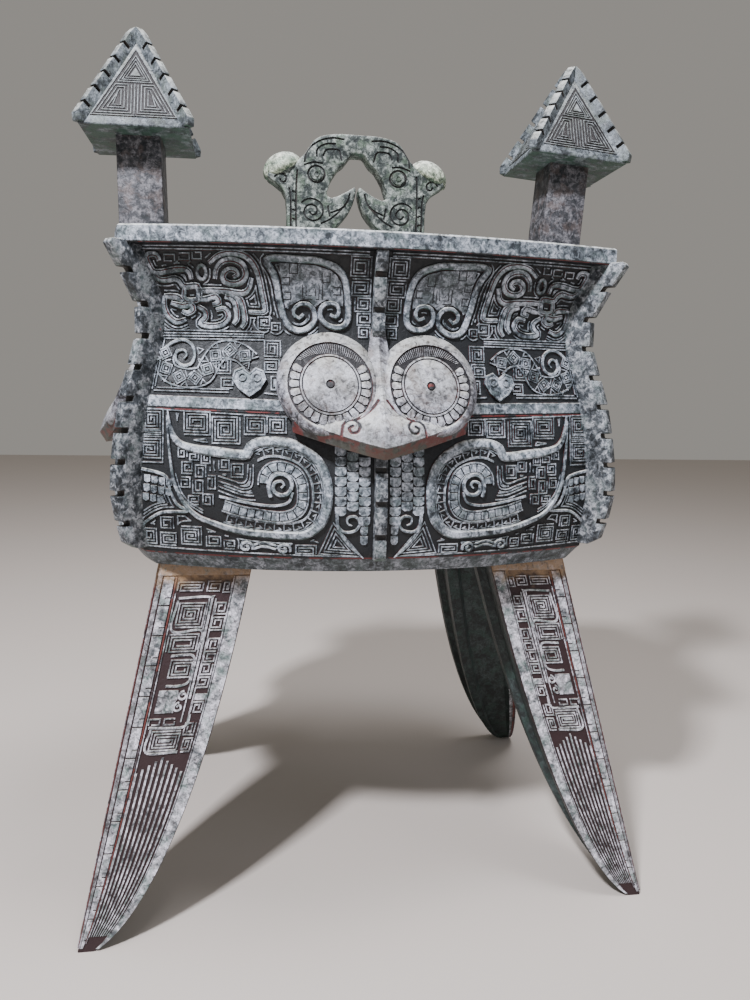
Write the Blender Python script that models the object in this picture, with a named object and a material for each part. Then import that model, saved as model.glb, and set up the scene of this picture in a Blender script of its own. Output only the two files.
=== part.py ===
"""Bronze wine vessel of rectangular plan on four splayed legs, with a loose lid.

Two pieces: the vessel, cast as one with its legs, flanges, owl faces, posts
and handle, and the lid with its pair of birds. +X is the vessel's right as
its front is faced, -Y is the front, +Z is up and the feet stand on z = 0.
All lengths are metres.
"""
import math

import bmesh
import bpy
from mathutils import Matrix, Vector

# Heights: what the caps, posts and body leave of the overall height is the legs
OVERALL_HEIGHT = 0.6670
CAP_RISE = 0.0840           # underside of a cap to the tops of its flanges
POST_HEIGHT = 0.0852        # rim's top to the underside of the caps
BODY_HEIGHT = 0.2358        # underside to the rim's top
RIM_HEIGHT = 0.0120
WAIST_HEIGHT = 0.1780       # these four are measured up from the underside
BAND_HEIGHT = 0.1185
BELLY_HEIGHT = 0.0560
BASE_HEIGHT = 0.0120
CAP_TOP_Z = OVERALL_HEIGHT
CAP_Z = CAP_TOP_Z - CAP_RISE
RIM_TOP_Z = CAP_Z - POST_HEIGHT
THROAT_Z = RIM_TOP_Z - RIM_HEIGHT
UNDERSIDE_Z = RIM_TOP_Z - BODY_HEIGHT
WAIST_Z = UNDERSIDE_Z + WAIST_HEIGHT
BAND_Z = UNDERSIDE_Z + BAND_HEIGHT
BELLY_Z = UNDERSIDE_Z + BELLY_HEIGHT
BASE_Z = UNDERSIDE_Z + BASE_HEIGHT

# Body plan: four bulging walls that meet at sharp corners
DIAGONAL = math.sqrt(2)     # a square corner's distance out, per unit of its half width
RIM_HALF = 0.1769
RIM_BULGE = 0.0207
THROAT_HALF = 0.1668
WAIST_HALF = 0.1533
WAIST_BULGE = 0.0220
BAND_HALF = 0.1642
BAND_BULGE = 0.0280
BELLY_HALF = 0.1697
BELLY_BULGE = 0.0340
BASE_HALF = 0.1655
BASE_BULGE = 0.0360
UNDERSIDE_HALF = 0.1575
DEPTH_LESS = 0.0600         # a corner's half depth is this much under its half width
SIDE_BULGE_SHARE = 0.70     # bulge of the two narrow walls against the wide ones
WALL = 0.0050
FLOOR_THICKNESS = 0.0070

# Mouth and lid seat
LIP_WIDTH = 0.0120          # the rim's flat top, at the corners
LEDGE_DROP = 0.0075         # the lid's ledge below the rim's top
LEDGE_WIDTH = 0.0080
LEDGE_THICKNESS = 0.0080
LEDGE_SLOPE = 0.0120        # height over which the ledge runs out into the wall
SEAT_GAP = 0.0003
LID_CLEARANCE = 0.0006
LID_THICKNESS = 0.0060
LID_RISE = 0.0080
NOTCH_OVERRUN = 0.0200      # the post notches' cutters run past the lid's edge and faces
LID_BORDER = 0.0200         # the lid's shallow border outside its hipped middle

# Flanges
FLANGE_THICKNESS = 0.0090
FLANGE_EMBED = 0.0058
FLANGE_TOP_DROP = 0.0105
FLANGE_FOOT_RISE = 0.0025
FLANGE_TOP_Z = RIM_TOP_Z - FLANGE_TOP_DROP
FLANGE_FOOT_Z = BASE_Z + FLANGE_FOOT_RISE
FLANGE_FOOT_REACH = 0.0145
FLANGE_BELLY_REACH = 0.0185
FLANGE_WAIST_REACH = 0.0172
FLANGE_HORN_REACH = 0.0240
FLANGE_NOTCHES = 9
FLANGE_PLAIN_END = 0.0080   # from each end of a flange to its row of notches
FLANGE_FOOT_CUT = 0.0050    # height of the corner cut off at the foot
FLANGE_FOOT_SHARE = 0.5     # share of the reach that the same cut takes
FLANGE_TOP_CUT = 0.0030
MIDDLE_THICKNESS = 0.0085
MIDDLE_REACH = 0.0085
UPPER_NOTCHES = 2           # on a middle flange above the beak
LOWER_NOTCHES = 3
MIDDLE_ROOT = 0.0040        # how far its ends run into the beak
NOTCH_WIDTH = 0.0026
NOTCH_DEPTH = 0.0055
MIDDLE_NOTCH_DEPTH = 0.0030
MIDDLE_FOOT_SHARE = 0.6
MIDDLE_FOOT_CUT = 0.0040
MIDDLE_PLAIN_FOOT = 0.0060
MIDDLE_PLAIN_TOP = 0.0040

# Owl faces: one on the front and one on each narrow wall
EYE_ACROSS = 0.0352
EYE_RISE = 0.0140           # of the eyes' middles above the plain band
EYE_Z = BAND_Z + EYE_RISE
EYE_SOCKET_RADIUS = 0.0355
EYE_RING_RADIUS = 0.0285
EYE_RING_WIDTH = 0.0030
EYE_RING_HEIGHT = 0.0015
EYE_PROUD = 0.0125
EYE_TILT = 0.0060           # extra at the ring's bottom, less at its top
BEAK_REACH = 0.0300
CHEEK_ACROSS = 0.0620
CHEEK_RISE = 0.0185
# Levels of the brow and beak: up from the eyes, rise at the sides, half width, out at middle and side
BEAK_LEVELS = ((0.0395, 0, 0.0050, 0.0040, 0.0030), (0.0155, 0, 0.0085, 0.0085, 0.0050),
               (-0.0025, 0, 0.0115, 0.0135, 0.0100), (-0.0175, -0.0010, 0.0280, 0.0215, 0.0150),
               (-0.0305, 0.0050, 0.0560, 0.0270, 0.0135),
               (-0.0460, CHEEK_RISE, CHEEK_ACROSS, BEAK_REACH, 0.0130))
BEAK_TOP_Z = EYE_Z + BEAK_LEVELS[0][0]
BEAK_TIP_Z = EYE_Z + BEAK_LEVELS[-1][0]
BEAK_UNDERCUT = 0.0015      # the beak's underside rises this much into the wall
BEAK_ROOT_SHARE = 0.95      # width of that underside at the wall, against the cheeks
BEAK_BACK = 0.0040          # how far behind the wall's face the beak starts
BEAK_CROWN = 1.1            # power of the curve from the beak's middle out to its sides
CHEEK_CURVE = 1.15          # power of the curve in which its sides rise
BEAK_STEPS = 4              # facets from the middle to each side
SIDE_OWL_SHARE = 0.72

# Relief on the walls
HORN_HEIGHT = 0.0022
# A horn, up from the beak's top
HORN_OUTLINE = ((0.0200, 0), (0.0290, -0.0030), (0.0560, -0.0040), (0.0665, 0.0100), (0.0730, 0.0400),
                (0.0845, 0.0460), (0.0560, 0.0460), (0.0350, 0.0415), (0.0205, 0.0280))
WING_HEIGHT = 0.0024
WING_WIDTH = 0.0135
WING_ACROSS = 0.0700        # middle of the wing's spiral
WING_RISE = 0.0055
WING_Z = BELLY_Z + WING_RISE
# The band's run from the wing's tip down to the spiral, up from the spiral's middle
WING_SWEEP = ((0.1455, 0.0505), (0.1425, 0.0215), (0.1330, -0.0075), (0.1130, -0.0275))
WING_OUTER_RADIUS = 0.0305
WING_INNER_RADIUS = 0.0115
WING_START = math.radians(-75)
WING_TURNS = 1.25
WING_STEPS = 9
RIBBON_TIP_SHARE = 0.25     # width of the band's tip against its full width
RIBBON_TIP_GROWTH = 4
RIBBON_END_SHARE = 0.45
RIBBON_END_GROWTH = 3
RELIEF_EMBED = 0.0024
SIDE_RELIEF_SHARE = 0.64
SNAKE_HEAD_ACROSS = 0.0905
SNAKE_HEAD_RADIUS = 0.0110
SNAKE_HEAD_HEIGHT = 0.0030
SNAKE_HEAD_SIDES = 6

# Legs: square in section, grooved on their two inner faces
LEG_ROOT = 0.0035           # how far the legs run up into the body
LEG_TOP_Z = UNDERSIDE_Z + LEG_ROOT
LEG_TOP_X = 0.1550
LEG_TOP_Y = 0.0950
LEG_DEPTH = 0.0620
LEG_EDGE = 0.0050           # flat along the leg's outer corner
LEG_RIM = 0.0100
LEG_GROOVE = 0.0060
LEG_CURVE = 0.5
FOOT_SHARE = 0.16
LEG_LEVELS = 7
LEG_CROWDING = 0.75         # under 1 the levels stand closer to each other at the foot
RIM_BEVEL = 1.5             # the groove's bottom starts this many rims in
FRONT_LEFT_FOOT = (-0.2085, -0.1580)
FRONT_RIGHT_FOOT = (0.2150, -0.1460)
BACK_RIGHT_FOOT = (0.2030, 0.1520)
BACK_LEFT_FOOT = (-0.2060, 0.1540)
FRONT_LEFT_WIDTH = 0.0680
FRONT_RIGHT_WIDTH = 0.0600
BACK_WIDTH = 0.0660

# Posts and caps
POST_WIDTH = 0.0348
POST_DEPTH = 0.0376
POST_TAPER = 0.97
LEFT_POST_X = -0.1735
RIGHT_POST_X = 0.1705
LEFT_POST_LEAN = -1.2       # degrees outward about the foot
RIGHT_POST_LEAN = 4.2
CAP_HALF_WIDTH = 0.0402
CAP_HALF_DEPTH = 0.0400
CAP_HEIGHT = 0.0800         # of the pyramid itself, inside its flanges
CAP_CROWN = 0.0045          # rounding of the flanges where they meet on top
CAP_FLANGE_REACH = 0.0065
CAP_FLANGE_THICKNESS = 0.0070
CAP_NOTCHES = 5
CAP_EDGE = 0.0015           # the cap's upright edge round its base
CAP_POINT = 0.0010          # half width of the pyramid's own tip
CAP_SHOULDER_SHARE = 0.4    # of the flanges' reach, at the cap's base
CAP_FLANGE_CUT = 0.0045
CAP_PLAIN_FOOT = 0.0080
CAP_PLAIN_TOP = 0.0040
CAP_CROWN_SHARE = 0.45      # width of the flat on top against the flanges' width below it
POST_FOOT_GAP = 0.0006      # the post starts this far above the rim band's underside
POST_KNEE = 0.0010          # its upright run above the rim, before it leans
POST_ROOT = 0.0040          # how far a post runs into its cap
BRACKET_DROP = 0.0240
BRACKET_SHARE = 0.96        # width of the bracket against the post
BRACKET_FOOT_SHARE = 0.9
BRACKET_FOOT = 0.0010       # half thickness of the bracket at its foot
BRACKET_ROOT = 0.0020       # how far it runs up into the rim

# Birds on the lid
BIRDS_X = -0.0025           # the pair stands a little off the lid's middle
BIRD_THICKNESS = 0.0190
BUN_RADIUS = 0.0150
BUN_STRETCH = (1.08, 0.90, 0.82)
BUN_TILT = 25
BIRD_EYE_RADIUS = 0.0072
BIRD_EYE_HEIGHT = 0.0022
# Places on the right-hand bird: right of the pair's middle, up from the rim's top
BIRD_EYE = (0.0340, 0.0702)
BIRD_BUN = (0.0575, 0.0752)
CHEEK_SPIRAL = (0.0385, 0.0422)
CHEEK_RADIUS = 0.0125
BIRD_DISC_SIDES = 12
BIRD_FOOT = LID_THICKNESS - LEDGE_DROP
# The same bird: up its back to the arch, and down its front from the arch to its feet
BIRD_OUTER = ((0.0550, BIRD_FOOT), (0.0560, 0.0552), (0.0600, 0.0632), (0.0560, 0.0822), (0.0430, 0.0872),
              (0.0360, 0.0977), (0.0265, 0.1027), (0.0130, 0.1044))
BIRD_INNER = ((0.0050, 0.0887), (0.0110, 0.0802), (0.0190, 0.0712), (0.0235, 0.0607), (0.0245, 0.0537),
              (0.0210, 0.0517), (0.0090, 0.0567), (0.0018, 0.0612), (0.0014, 0.0562), (0.0035, 0.0472),
              (0.0100, 0.0357), (0.0190, 0.0262), (0.0230, BIRD_FOOT))

# Handle at the middle of the back
HANDLE_TOP_RISE = 0.0120    # above the waist
HANDLE_FOOT_RISE = 0.0120   # above the belly
HANDLE_TOP_Z = WAIST_Z + HANDLE_TOP_RISE
HANDLE_FOOT_Z = BELLY_Z + HANDLE_FOOT_RISE
HANDLE_REACH_Y = 0.1740
HANDLE_WIDTH = 0.0210
HANDLE_THICKNESS = 0.0120
HANDLE_BOW = 0.7            # under 1 the loop is squarer than a half circle
HANDLE_TURN = 0.92          # how far its section turns with the loop
HANDLE_HEAD = 0.0170
HEAD_DROP_SHARE = 0.4       # how far the head sits below the loop's top, in loop thicknesses
HEAD_FLATNESS = 0.8
HANDLE_SECTION = ((-1, -0.5), (-0.6, -1), (0.6, -1), (1, -0.5), (1, 0.5), (0.6, 1), (-0.6, 1), (-1, 0.5))
HEAD_LEVELS = ((0, 0.75), (0.0120, 1.0), (0.0260, 0.95), (0.0400, 0.62))    # out from the wall, size
HEAD_SIDES = 12
HEAD_HORN_FOOT = (0.0070, 0.0200, 0.0090)
HEAD_HORN_RUN = (0.0130, 0.0030, 0.0110)
HEAD_HORN_WIDTH = 0.0084
HEAD_HORN_LEVELS = ((0, 1.0), (0.5, 0.85), (1.0, 0.35))     # share of the run, size

# Looks of the solids
BODY_COLOUR = (0.17, 0.19, 0.18)
LID_COLOUR = (0.20, 0.22, 0.20)
PATINA_ROUGHNESS = 0.62
PATINA_METALLIC = 0.55

# How finely the solids are divided
WALL_HEIGHTS = ((BASE_Z + BELLY_Z) / 2, BELLY_Z, (BELLY_Z + BAND_Z) / 2, BAND_Z, (BAND_Z + WAIST_Z) / 2,
                WAIST_Z, (WAIST_Z + THROAT_Z) / 2)
WIDE_STEPS = 10             # facets across a wide wall
NARROW_STEPS = 6            # facets across a narrow wall
EYE_STEPS = 12
HANDLE_STEPS = 10
MIDDLE_STEPS = 4


def set_up_scene():
    """Empties the scene and makes the collections for the two pieces and what shapes them."""
    for thing in list(bpy.data.objects):
        bpy.data.objects.remove(thing, do_unlink=True)
    collections = []
    for name in ("wine_vessel", "body_castings", "lid_castings", "lid_cutters"):
        made = bpy.data.collections.get(name) or bpy.data.collections.new(name)
        if name not in bpy.context.scene.collection.children:
            bpy.context.scene.collection.children.link(made)
        collections.append(made)
    return collections


PARTS, CASTINGS, LID_CASTINGS, LID_CUTTERS = set_up_scene()


def bronze(name, colour, roughness, metallic):
    """A Principled material in one plain colour."""
    material = bpy.data.materials.new(name)
    material.use_nodes = True
    shader = material.node_tree.nodes["Principled BSDF"]
    shader.inputs["Base Color"].default_value = (*colour, 1.0)
    shader.inputs["Roughness"].default_value = roughness
    shader.inputs["Metallic"].default_value = metallic
    return material


BODY_BRONZE = bronze("patinated_bronze", BODY_COLOUR, PATINA_ROUGHNESS, PATINA_METALLIC)
LID_BRONZE = bronze("patinated_bronze_lid", LID_COLOUR, PATINA_ROUGHNESS, PATINA_METALLIC)


def add_mesh(name, mesh, material, collection):
    """Turns a finished bmesh into an object with its faces pointing out."""
    bmesh.ops.recalc_face_normals(mesh, faces=mesh.faces)
    bmesh.ops.triangulate(mesh, faces=[face for face in mesh.faces if len(face.verts) > 3])
    data = bpy.data.meshes.new(name)
    mesh.to_mesh(data)
    mesh.free()
    data.materials.append(material)
    made = bpy.data.objects.new(name, data)
    collection.objects.link(made)
    if collection is not PARTS:
        made.hide_render = True
        made.display_type = "WIRE"
    return made


def loft(name, rings, collection=CASTINGS, material=BODY_BRONZE):
    """A closed solid through rings that all have the same number of points."""
    mesh = bmesh.new()
    levels = [[mesh.verts.new(point) for point in ring] for ring in rings]
    count = len(rings[0])
    for lower, upper in zip(levels, levels[1:]):
        for i in range(count):
            j = (i + 1) % count
            mesh.faces.new((lower[i], lower[j], upper[j], upper[i]))
    mesh.faces.new(list(reversed(levels[0])))
    mesh.faces.new(levels[-1])
    return add_mesh(name, mesh, material, collection)


def eased(z, knots):
    """The value at height z of a smooth curve through (height, value) knots."""
    knots = sorted(knots)
    if z <= knots[0][0]:
        return knots[0][1]
    if z >= knots[-1][0]:
        return knots[-1][1]
    upper = next(i for i, knot in enumerate(knots) if knot[0] >= z)
    lower = upper - 1

    def slope(i):
        a, b = max(i - 1, 0), min(i + 1, len(knots) - 1)
        return (knots[b][1] - knots[a][1]) / (knots[b][0] - knots[a][0])

    (z0, v0), (z1, v1) = knots[lower], knots[upper]
    span = z1 - z0
    t = (z - z0) / span
    return ((2 * t**3 - 3 * t**2 + 1) * v0 + (t**3 - 2 * t**2 + t) * span * slope(lower)
            + (3 * t**2 - 2 * t**3) * v1 + (t**3 - t**2) * span * slope(upper))


HALF_KNOTS = ((BASE_Z, BASE_HALF), (BELLY_Z, BELLY_HALF), (BAND_Z, BAND_HALF),
              (WAIST_Z, WAIST_HALF), (THROAT_Z, THROAT_HALF))
BULGE_KNOTS = ((BASE_Z, BASE_BULGE), (BELLY_Z, BELLY_BULGE), (BAND_Z, BAND_BULGE),
               (WAIST_Z, WAIST_BULGE), (RIM_TOP_Z, RIM_BULGE))


def half_width(z):
    """Half the body's width at its corners, below the rim."""
    return eased(z, HALF_KNOTS)


def bulge(z):
    """How far the wide walls swell out between their corners."""
    return eased(z, BULGE_KNOTS)


FRONT, RIGHT, BACK, LEFT = 0, 1, 2, 3


def is_wide(face):
    """True on the front and back walls."""
    return face in (FRONT, BACK)


def face_point(face, across, z, out, half=None, swell=None):
    """The point `out` in front of a wall and `across` from the wall's middle."""
    half = half_width(z) if half is None else half
    swell = bulge(z) if swell is None else swell
    if is_wide(face):
        corner, reach = half, half - DEPTH_LESS
    else:
        corner, reach, swell = half - DEPTH_LESS, half, swell * SIDE_BULGE_SHARE
    distance = reach + swell * (1 - (across / corner)**2) + out
    return Matrix.Rotation(math.radians(90 * face), 3, "Z") @ Vector((across, -distance, z))


def plan_ring(z, half, swell=None):
    """A level ring around all four walls at one height."""
    ring = []
    for face in (FRONT, RIGHT, BACK, LEFT):
        corner = half if is_wide(face) else half - DEPTH_LESS
        steps = WIDE_STEPS if is_wide(face) else NARROW_STEPS
        for i in range(steps):
            across = corner * (2 * i / steps - 1)
            ring.append(face_point(face, across, z, 0, half, swell))
    return ring


def body_shell():
    """The hollow body with its rim band, lid ledge and open mouth."""
    outer_heights = (BASE_Z, *WALL_HEIGHTS, THROAT_Z)
    ledge_z = RIM_TOP_Z - LEDGE_DROP
    ledge_foot_z = ledge_z - LEDGE_THICKNESS
    mouth_half = RIM_HALF - LIP_WIDTH
    ledge_half = mouth_half - LEDGE_WIDTH
    cavity_z = UNDERSIDE_Z + FLOOR_THICKNESS
    rings = [plan_ring(UNDERSIDE_Z, UNDERSIDE_HALF)]
    rings += [plan_ring(z, half_width(z)) for z in outer_heights]
    rings.append(plan_ring(THROAT_Z, RIM_HALF))
    rings.append(plan_ring(RIM_TOP_Z, RIM_HALF))
    rings.append(plan_ring(RIM_TOP_Z, mouth_half))
    rings.append(plan_ring(ledge_z, mouth_half, RIM_BULGE))
    rings.append(plan_ring(ledge_z, ledge_half, RIM_BULGE))
    rings.append(plan_ring(ledge_foot_z, ledge_half, RIM_BULGE))
    inner_heights = (ledge_foot_z - LEDGE_SLOPE, WAIST_Z, BAND_Z, BELLY_Z, (BASE_Z + BELLY_Z) / 2)
    rings += [plan_ring(z, half_width(z) - WALL) for z in inner_heights]
    rings.append(plan_ring(cavity_z, UNDERSIDE_HALF - WALL))
    return loft("vessel", rings, PARTS)


def plate(name, outline, place, thickness, collection=CASTINGS, material=BODY_BRONZE):
    """A flat plate of the outline, its middle plane where `place` puts (along, up)."""
    rings = [[place(along, up, side * thickness / 2) for along, up in outline] for side in (-1, 1)]
    return loft(name, rings, collection, material)


def notched_edge(start, end, edge, inward, count, depth):
    """Points along edge(t) from start to end with `count` square notches cut inward."""
    points = []
    length = (edge(end) - edge(start)).length
    half = NOTCH_WIDTH / 2 / length * (end - start)
    for i in range(count):
        middle = start + (end - start) * (i + 0.5) / count
        for side, cut in ((-half, 0), (-half, depth), (half, depth), (half, 0)):
            points.append(tuple(edge(middle + side) + inward(middle + side) * cut))
    return points


def corner_flanges():
    """The four flanges that stand out along the corners' diagonals."""
    reach_knots = ((FLANGE_FOOT_Z, FLANGE_FOOT_REACH), (BELLY_Z, FLANGE_BELLY_REACH),
                   (WAIST_Z, FLANGE_WAIST_REACH), (FLANGE_TOP_Z, FLANGE_HORN_REACH))

    def edge(z):
        return Vector((half_width(z) * DIAGONAL + eased(z, reach_knots), z))

    def inner(z):
        return (half_width(z) * DIAGONAL - FLANGE_EMBED, z)

    def inward(z):
        return Vector((-1, 0))

    foot_cut = FLANGE_FOOT_REACH * FLANGE_FOOT_SHARE
    outline = [inner(FLANGE_FOOT_Z), (edge(FLANGE_FOOT_Z)[0] - foot_cut, FLANGE_FOOT_Z)]
    outline.append(tuple(edge(FLANGE_FOOT_Z + FLANGE_FOOT_CUT)))
    outline += notched_edge(FLANGE_FOOT_Z + FLANGE_PLAIN_END, FLANGE_TOP_Z - FLANGE_PLAIN_END, edge,
                            inward, FLANGE_NOTCHES, NOTCH_DEPTH)
    outline.append(tuple(edge(FLANGE_TOP_Z - FLANGE_TOP_CUT)))
    outline.append((edge(FLANGE_TOP_Z)[0] - FLANGE_TOP_CUT, FLANGE_TOP_Z))
    outline += [inner(z) for z in (FLANGE_TOP_Z, *reversed(WALL_HEIGHTS[1:]))]
    for sign_x in (-1, 1):
        for sign_y in (-1, 1):
            def place(along, up, side):
                shift = side / DIAGONAL
                x = along / DIAGONAL
                return (sign_x * (x + shift), sign_y * (x - DEPTH_LESS - shift), up)
            plate("corner_flange", outline, place, FLANGE_THICKNESS)


def middle_flange(face, foot_z, top_z, notches):
    """One upright flange on the middle line of a wall."""
    def edge(z):
        return Vector((MIDDLE_REACH, z))

    def inward(z):
        return Vector((-1, 0))

    outline = [(MIDDLE_REACH * MIDDLE_FOOT_SHARE, foot_z), (MIDDLE_REACH, foot_z + MIDDLE_FOOT_CUT)]
    outline += notched_edge(foot_z + MIDDLE_PLAIN_FOOT, top_z - MIDDLE_PLAIN_TOP, edge, inward, notches,
                            MIDDLE_NOTCH_DEPTH)
    outline.append((MIDDLE_REACH, top_z))
    for i in range(MIDDLE_STEPS + 1):
        outline.append((-WALL / 2, top_z + (foot_z - top_z) * i / MIDDLE_STEPS))

    def place(along, up, side):
        return face_point(face, side, up, along)

    plate("middle_flange", outline, place, MIDDLE_THICKNESS)


def owl_eye(face, sign, share):
    """A round eye: a socket that swells out of the wall, a ring and a flat disc."""
    rings = []
    levels = ((EYE_SOCKET_RADIUS, -RELIEF_EMBED, 0), (EYE_RING_RADIUS, EYE_PROUD, 1),
              (EYE_RING_RADIUS - EYE_RING_WIDTH, EYE_PROUD, 1),
              (EYE_RING_RADIUS - EYE_RING_WIDTH - EYE_RING_HEIGHT, EYE_PROUD - EYE_RING_HEIGHT, 1))
    for radius, out, tilt in levels:
        ring = []
        for i in range(EYE_STEPS):
            angle = 2 * math.pi * i / EYE_STEPS
            across = share * (sign * EYE_ACROSS + radius * math.cos(angle))
            z = EYE_Z + radius * math.sin(angle)
            lean = tilt * EYE_TILT * math.sin(angle) * radius / EYE_RING_RADIUS
            ring.append(face_point(face, across, z, out * min(1, share + 0.1) - lean))
        rings.append(ring)
    loft("owl_eye", rings)


def owl_beak(face, share):
    """The brow ridge that widens below the eyes and comes out to the beak's tip."""
    root = (BEAK_LEVELS[-1][0] + BEAK_UNDERCUT, CHEEK_RISE - 2 * BEAK_UNDERCUT,
            CHEEK_ACROSS * BEAK_ROOT_SHARE, -RELIEF_EMBED, -RELIEF_EMBED)
    rings = []
    depth_share = min(1, share + 0.1)
    for up, rise, half, out, side_out in (*BEAK_LEVELS, root):
        middle_z = EYE_Z + up
        ring = []
        for i in range(-BEAK_STEPS, BEAK_STEPS + 1):
            t = i / BEAK_STEPS
            z = middle_z + rise * abs(t)**CHEEK_CURVE
            height = side_out + (out - side_out) * (1 - abs(t)**BEAK_CROWN)
            ring.append(face_point(face, share * half * t, z, depth_share * max(height, -RELIEF_EMBED)))
        for side in (half, -half):
            ring.append(face_point(face, share * side, middle_z + rise, -BEAK_BACK))
        rings.append(ring)
    loft("owl_beak", rings)


def wall_plate(face, outline, height):
    """A low plate that follows the wall; the outline is (across, height above floor)."""
    rings = [[face_point(face, across, z, out) for across, z in outline] for out in (-RELIEF_EMBED, height)]
    loft("wall_plate", rings)


def wall_ribbon(face, path, width, height):
    """A raised band along a path on the wall, narrowing to both ends."""
    rings = []
    last = len(path) - 1
    for i, (across, z) in enumerate(path):
        before, after = path[max(i - 1, 0)], path[min(i + 1, last)]
        direction = Vector((after[0] - before[0], after[1] - before[1])).normalized()
        normal = Vector((-direction.y, direction.x))
        from_tip = RIBBON_TIP_SHARE + RIBBON_TIP_GROWTH * i / last
        from_end = RIBBON_END_SHARE + RIBBON_END_GROWTH * (last - i) / last
        half = width / 2 * min(1, from_tip, from_end)
        left = (across + normal.x * half, z + normal.y * half)
        right = (across - normal.x * half, z - normal.y * half)
        corners = ((left, -RELIEF_EMBED), (left, height), (right, height), (right, -RELIEF_EMBED))
        rings.append([face_point(face, point[0], point[1], out) for point, out in corners])
    loft("wall_ribbon", rings)


def wing_path():
    """The wing's band: from its raised tip round the panel and into a spiral."""
    path = [(across, WING_Z + up) for across, up in WING_SWEEP]
    for i in range(WING_STEPS + 1):
        share = i / WING_STEPS
        radius = WING_OUTER_RADIUS + (WING_INNER_RADIUS - WING_OUTER_RADIUS) * share
        angle = WING_START - 2 * math.pi * WING_TURNS * share
        path.append((WING_ACROSS + radius * math.cos(angle), WING_Z + radius * math.sin(angle)))
    return path


def wall_relief(face):
    """Horns above the eyes, wings below the band and the snakes' heads between."""
    share = 1 if is_wide(face) else SIDE_RELIEF_SHARE
    for sign in (-1, 1):
        def fit(points):
            return [(sign * share * across, z) for across, z in points]
        wall_plate(face, fit([(across, BEAK_TOP_Z + up) for across, up in HORN_OUTLINE]), HORN_HEIGHT)
        wall_ribbon(face, fit(wing_path()), WING_WIDTH * (share + 1) / 2, WING_HEIGHT)
        head = []
        for i in range(SNAKE_HEAD_SIDES):
            angle = 2 * math.pi * i / SNAKE_HEAD_SIDES
            head.append((SNAKE_HEAD_ACROSS + SNAKE_HEAD_RADIUS * math.cos(angle),
                         EYE_Z + SNAKE_HEAD_RADIUS * math.sin(angle)))
        wall_plate(face, fit(head), SNAKE_HEAD_HEIGHT)


def leg(foot, width):
    """One splayed leg: straight along its outer corner, its inner edges curving to the foot."""
    foot_x, foot_y = foot
    side_x, side_y = math.copysign(1, foot_x), math.copysign(1, foot_y)
    top = Vector((side_x * LEG_TOP_X, side_y * LEG_TOP_Y, LEG_TOP_Z))
    end = Vector((foot_x, foot_y, 0))
    rings = []
    for i in range(LEG_LEVELS):
        level = 1 - (i / (LEG_LEVELS - 1))**LEG_CROWDING
        growth = math.sin(math.pi / 2 * level**LEG_CURVE)
        taper = math.sqrt(FOOT_SHARE**2 + (1 - FOOT_SHARE**2) * growth**2)
        corner = end.lerp(top, level)
        w, d = width * taper, LEG_DEPTH * taper
        rim, groove, edge = LEG_RIM * taper, LEG_GROOVE * taper, LEG_EDGE * taper
        inset = rim * RIM_BEVEL
        section = ((edge, 0), (w, 0), (w, rim), (w - groove, inset), (w - groove, d - inset),
                   (w, d - rim), (w, d), (w - rim, d), (w - inset, d - groove),
                   (inset, d - groove), (rim, d), (0, d), (0, edge))
        rings.append([(corner.x - side_x * x, corner.y - side_y * y, corner.z) for x, y in section])
    loft("leg", rings)


def box_ring(centre_x, half_x, half_y, z, lean_matrix):
    """A level rectangle turned with a leaning post."""
    corners = ((-half_x, -half_y), (half_x, -half_y), (half_x, half_y), (-half_x, half_y))
    return [lean_matrix @ Vector((centre_x + x, y, z)) for x, y in corners]


def lean(foot_x, degrees):
    """Turns about a post's foot, in the plane of the posts."""
    foot = Vector((foot_x, 0, RIM_TOP_Z))
    turn = Matrix.Rotation(math.radians(degrees), 4, "Y")
    return Matrix.Translation(foot) @ turn @ Matrix.Translation(-foot)


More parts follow.
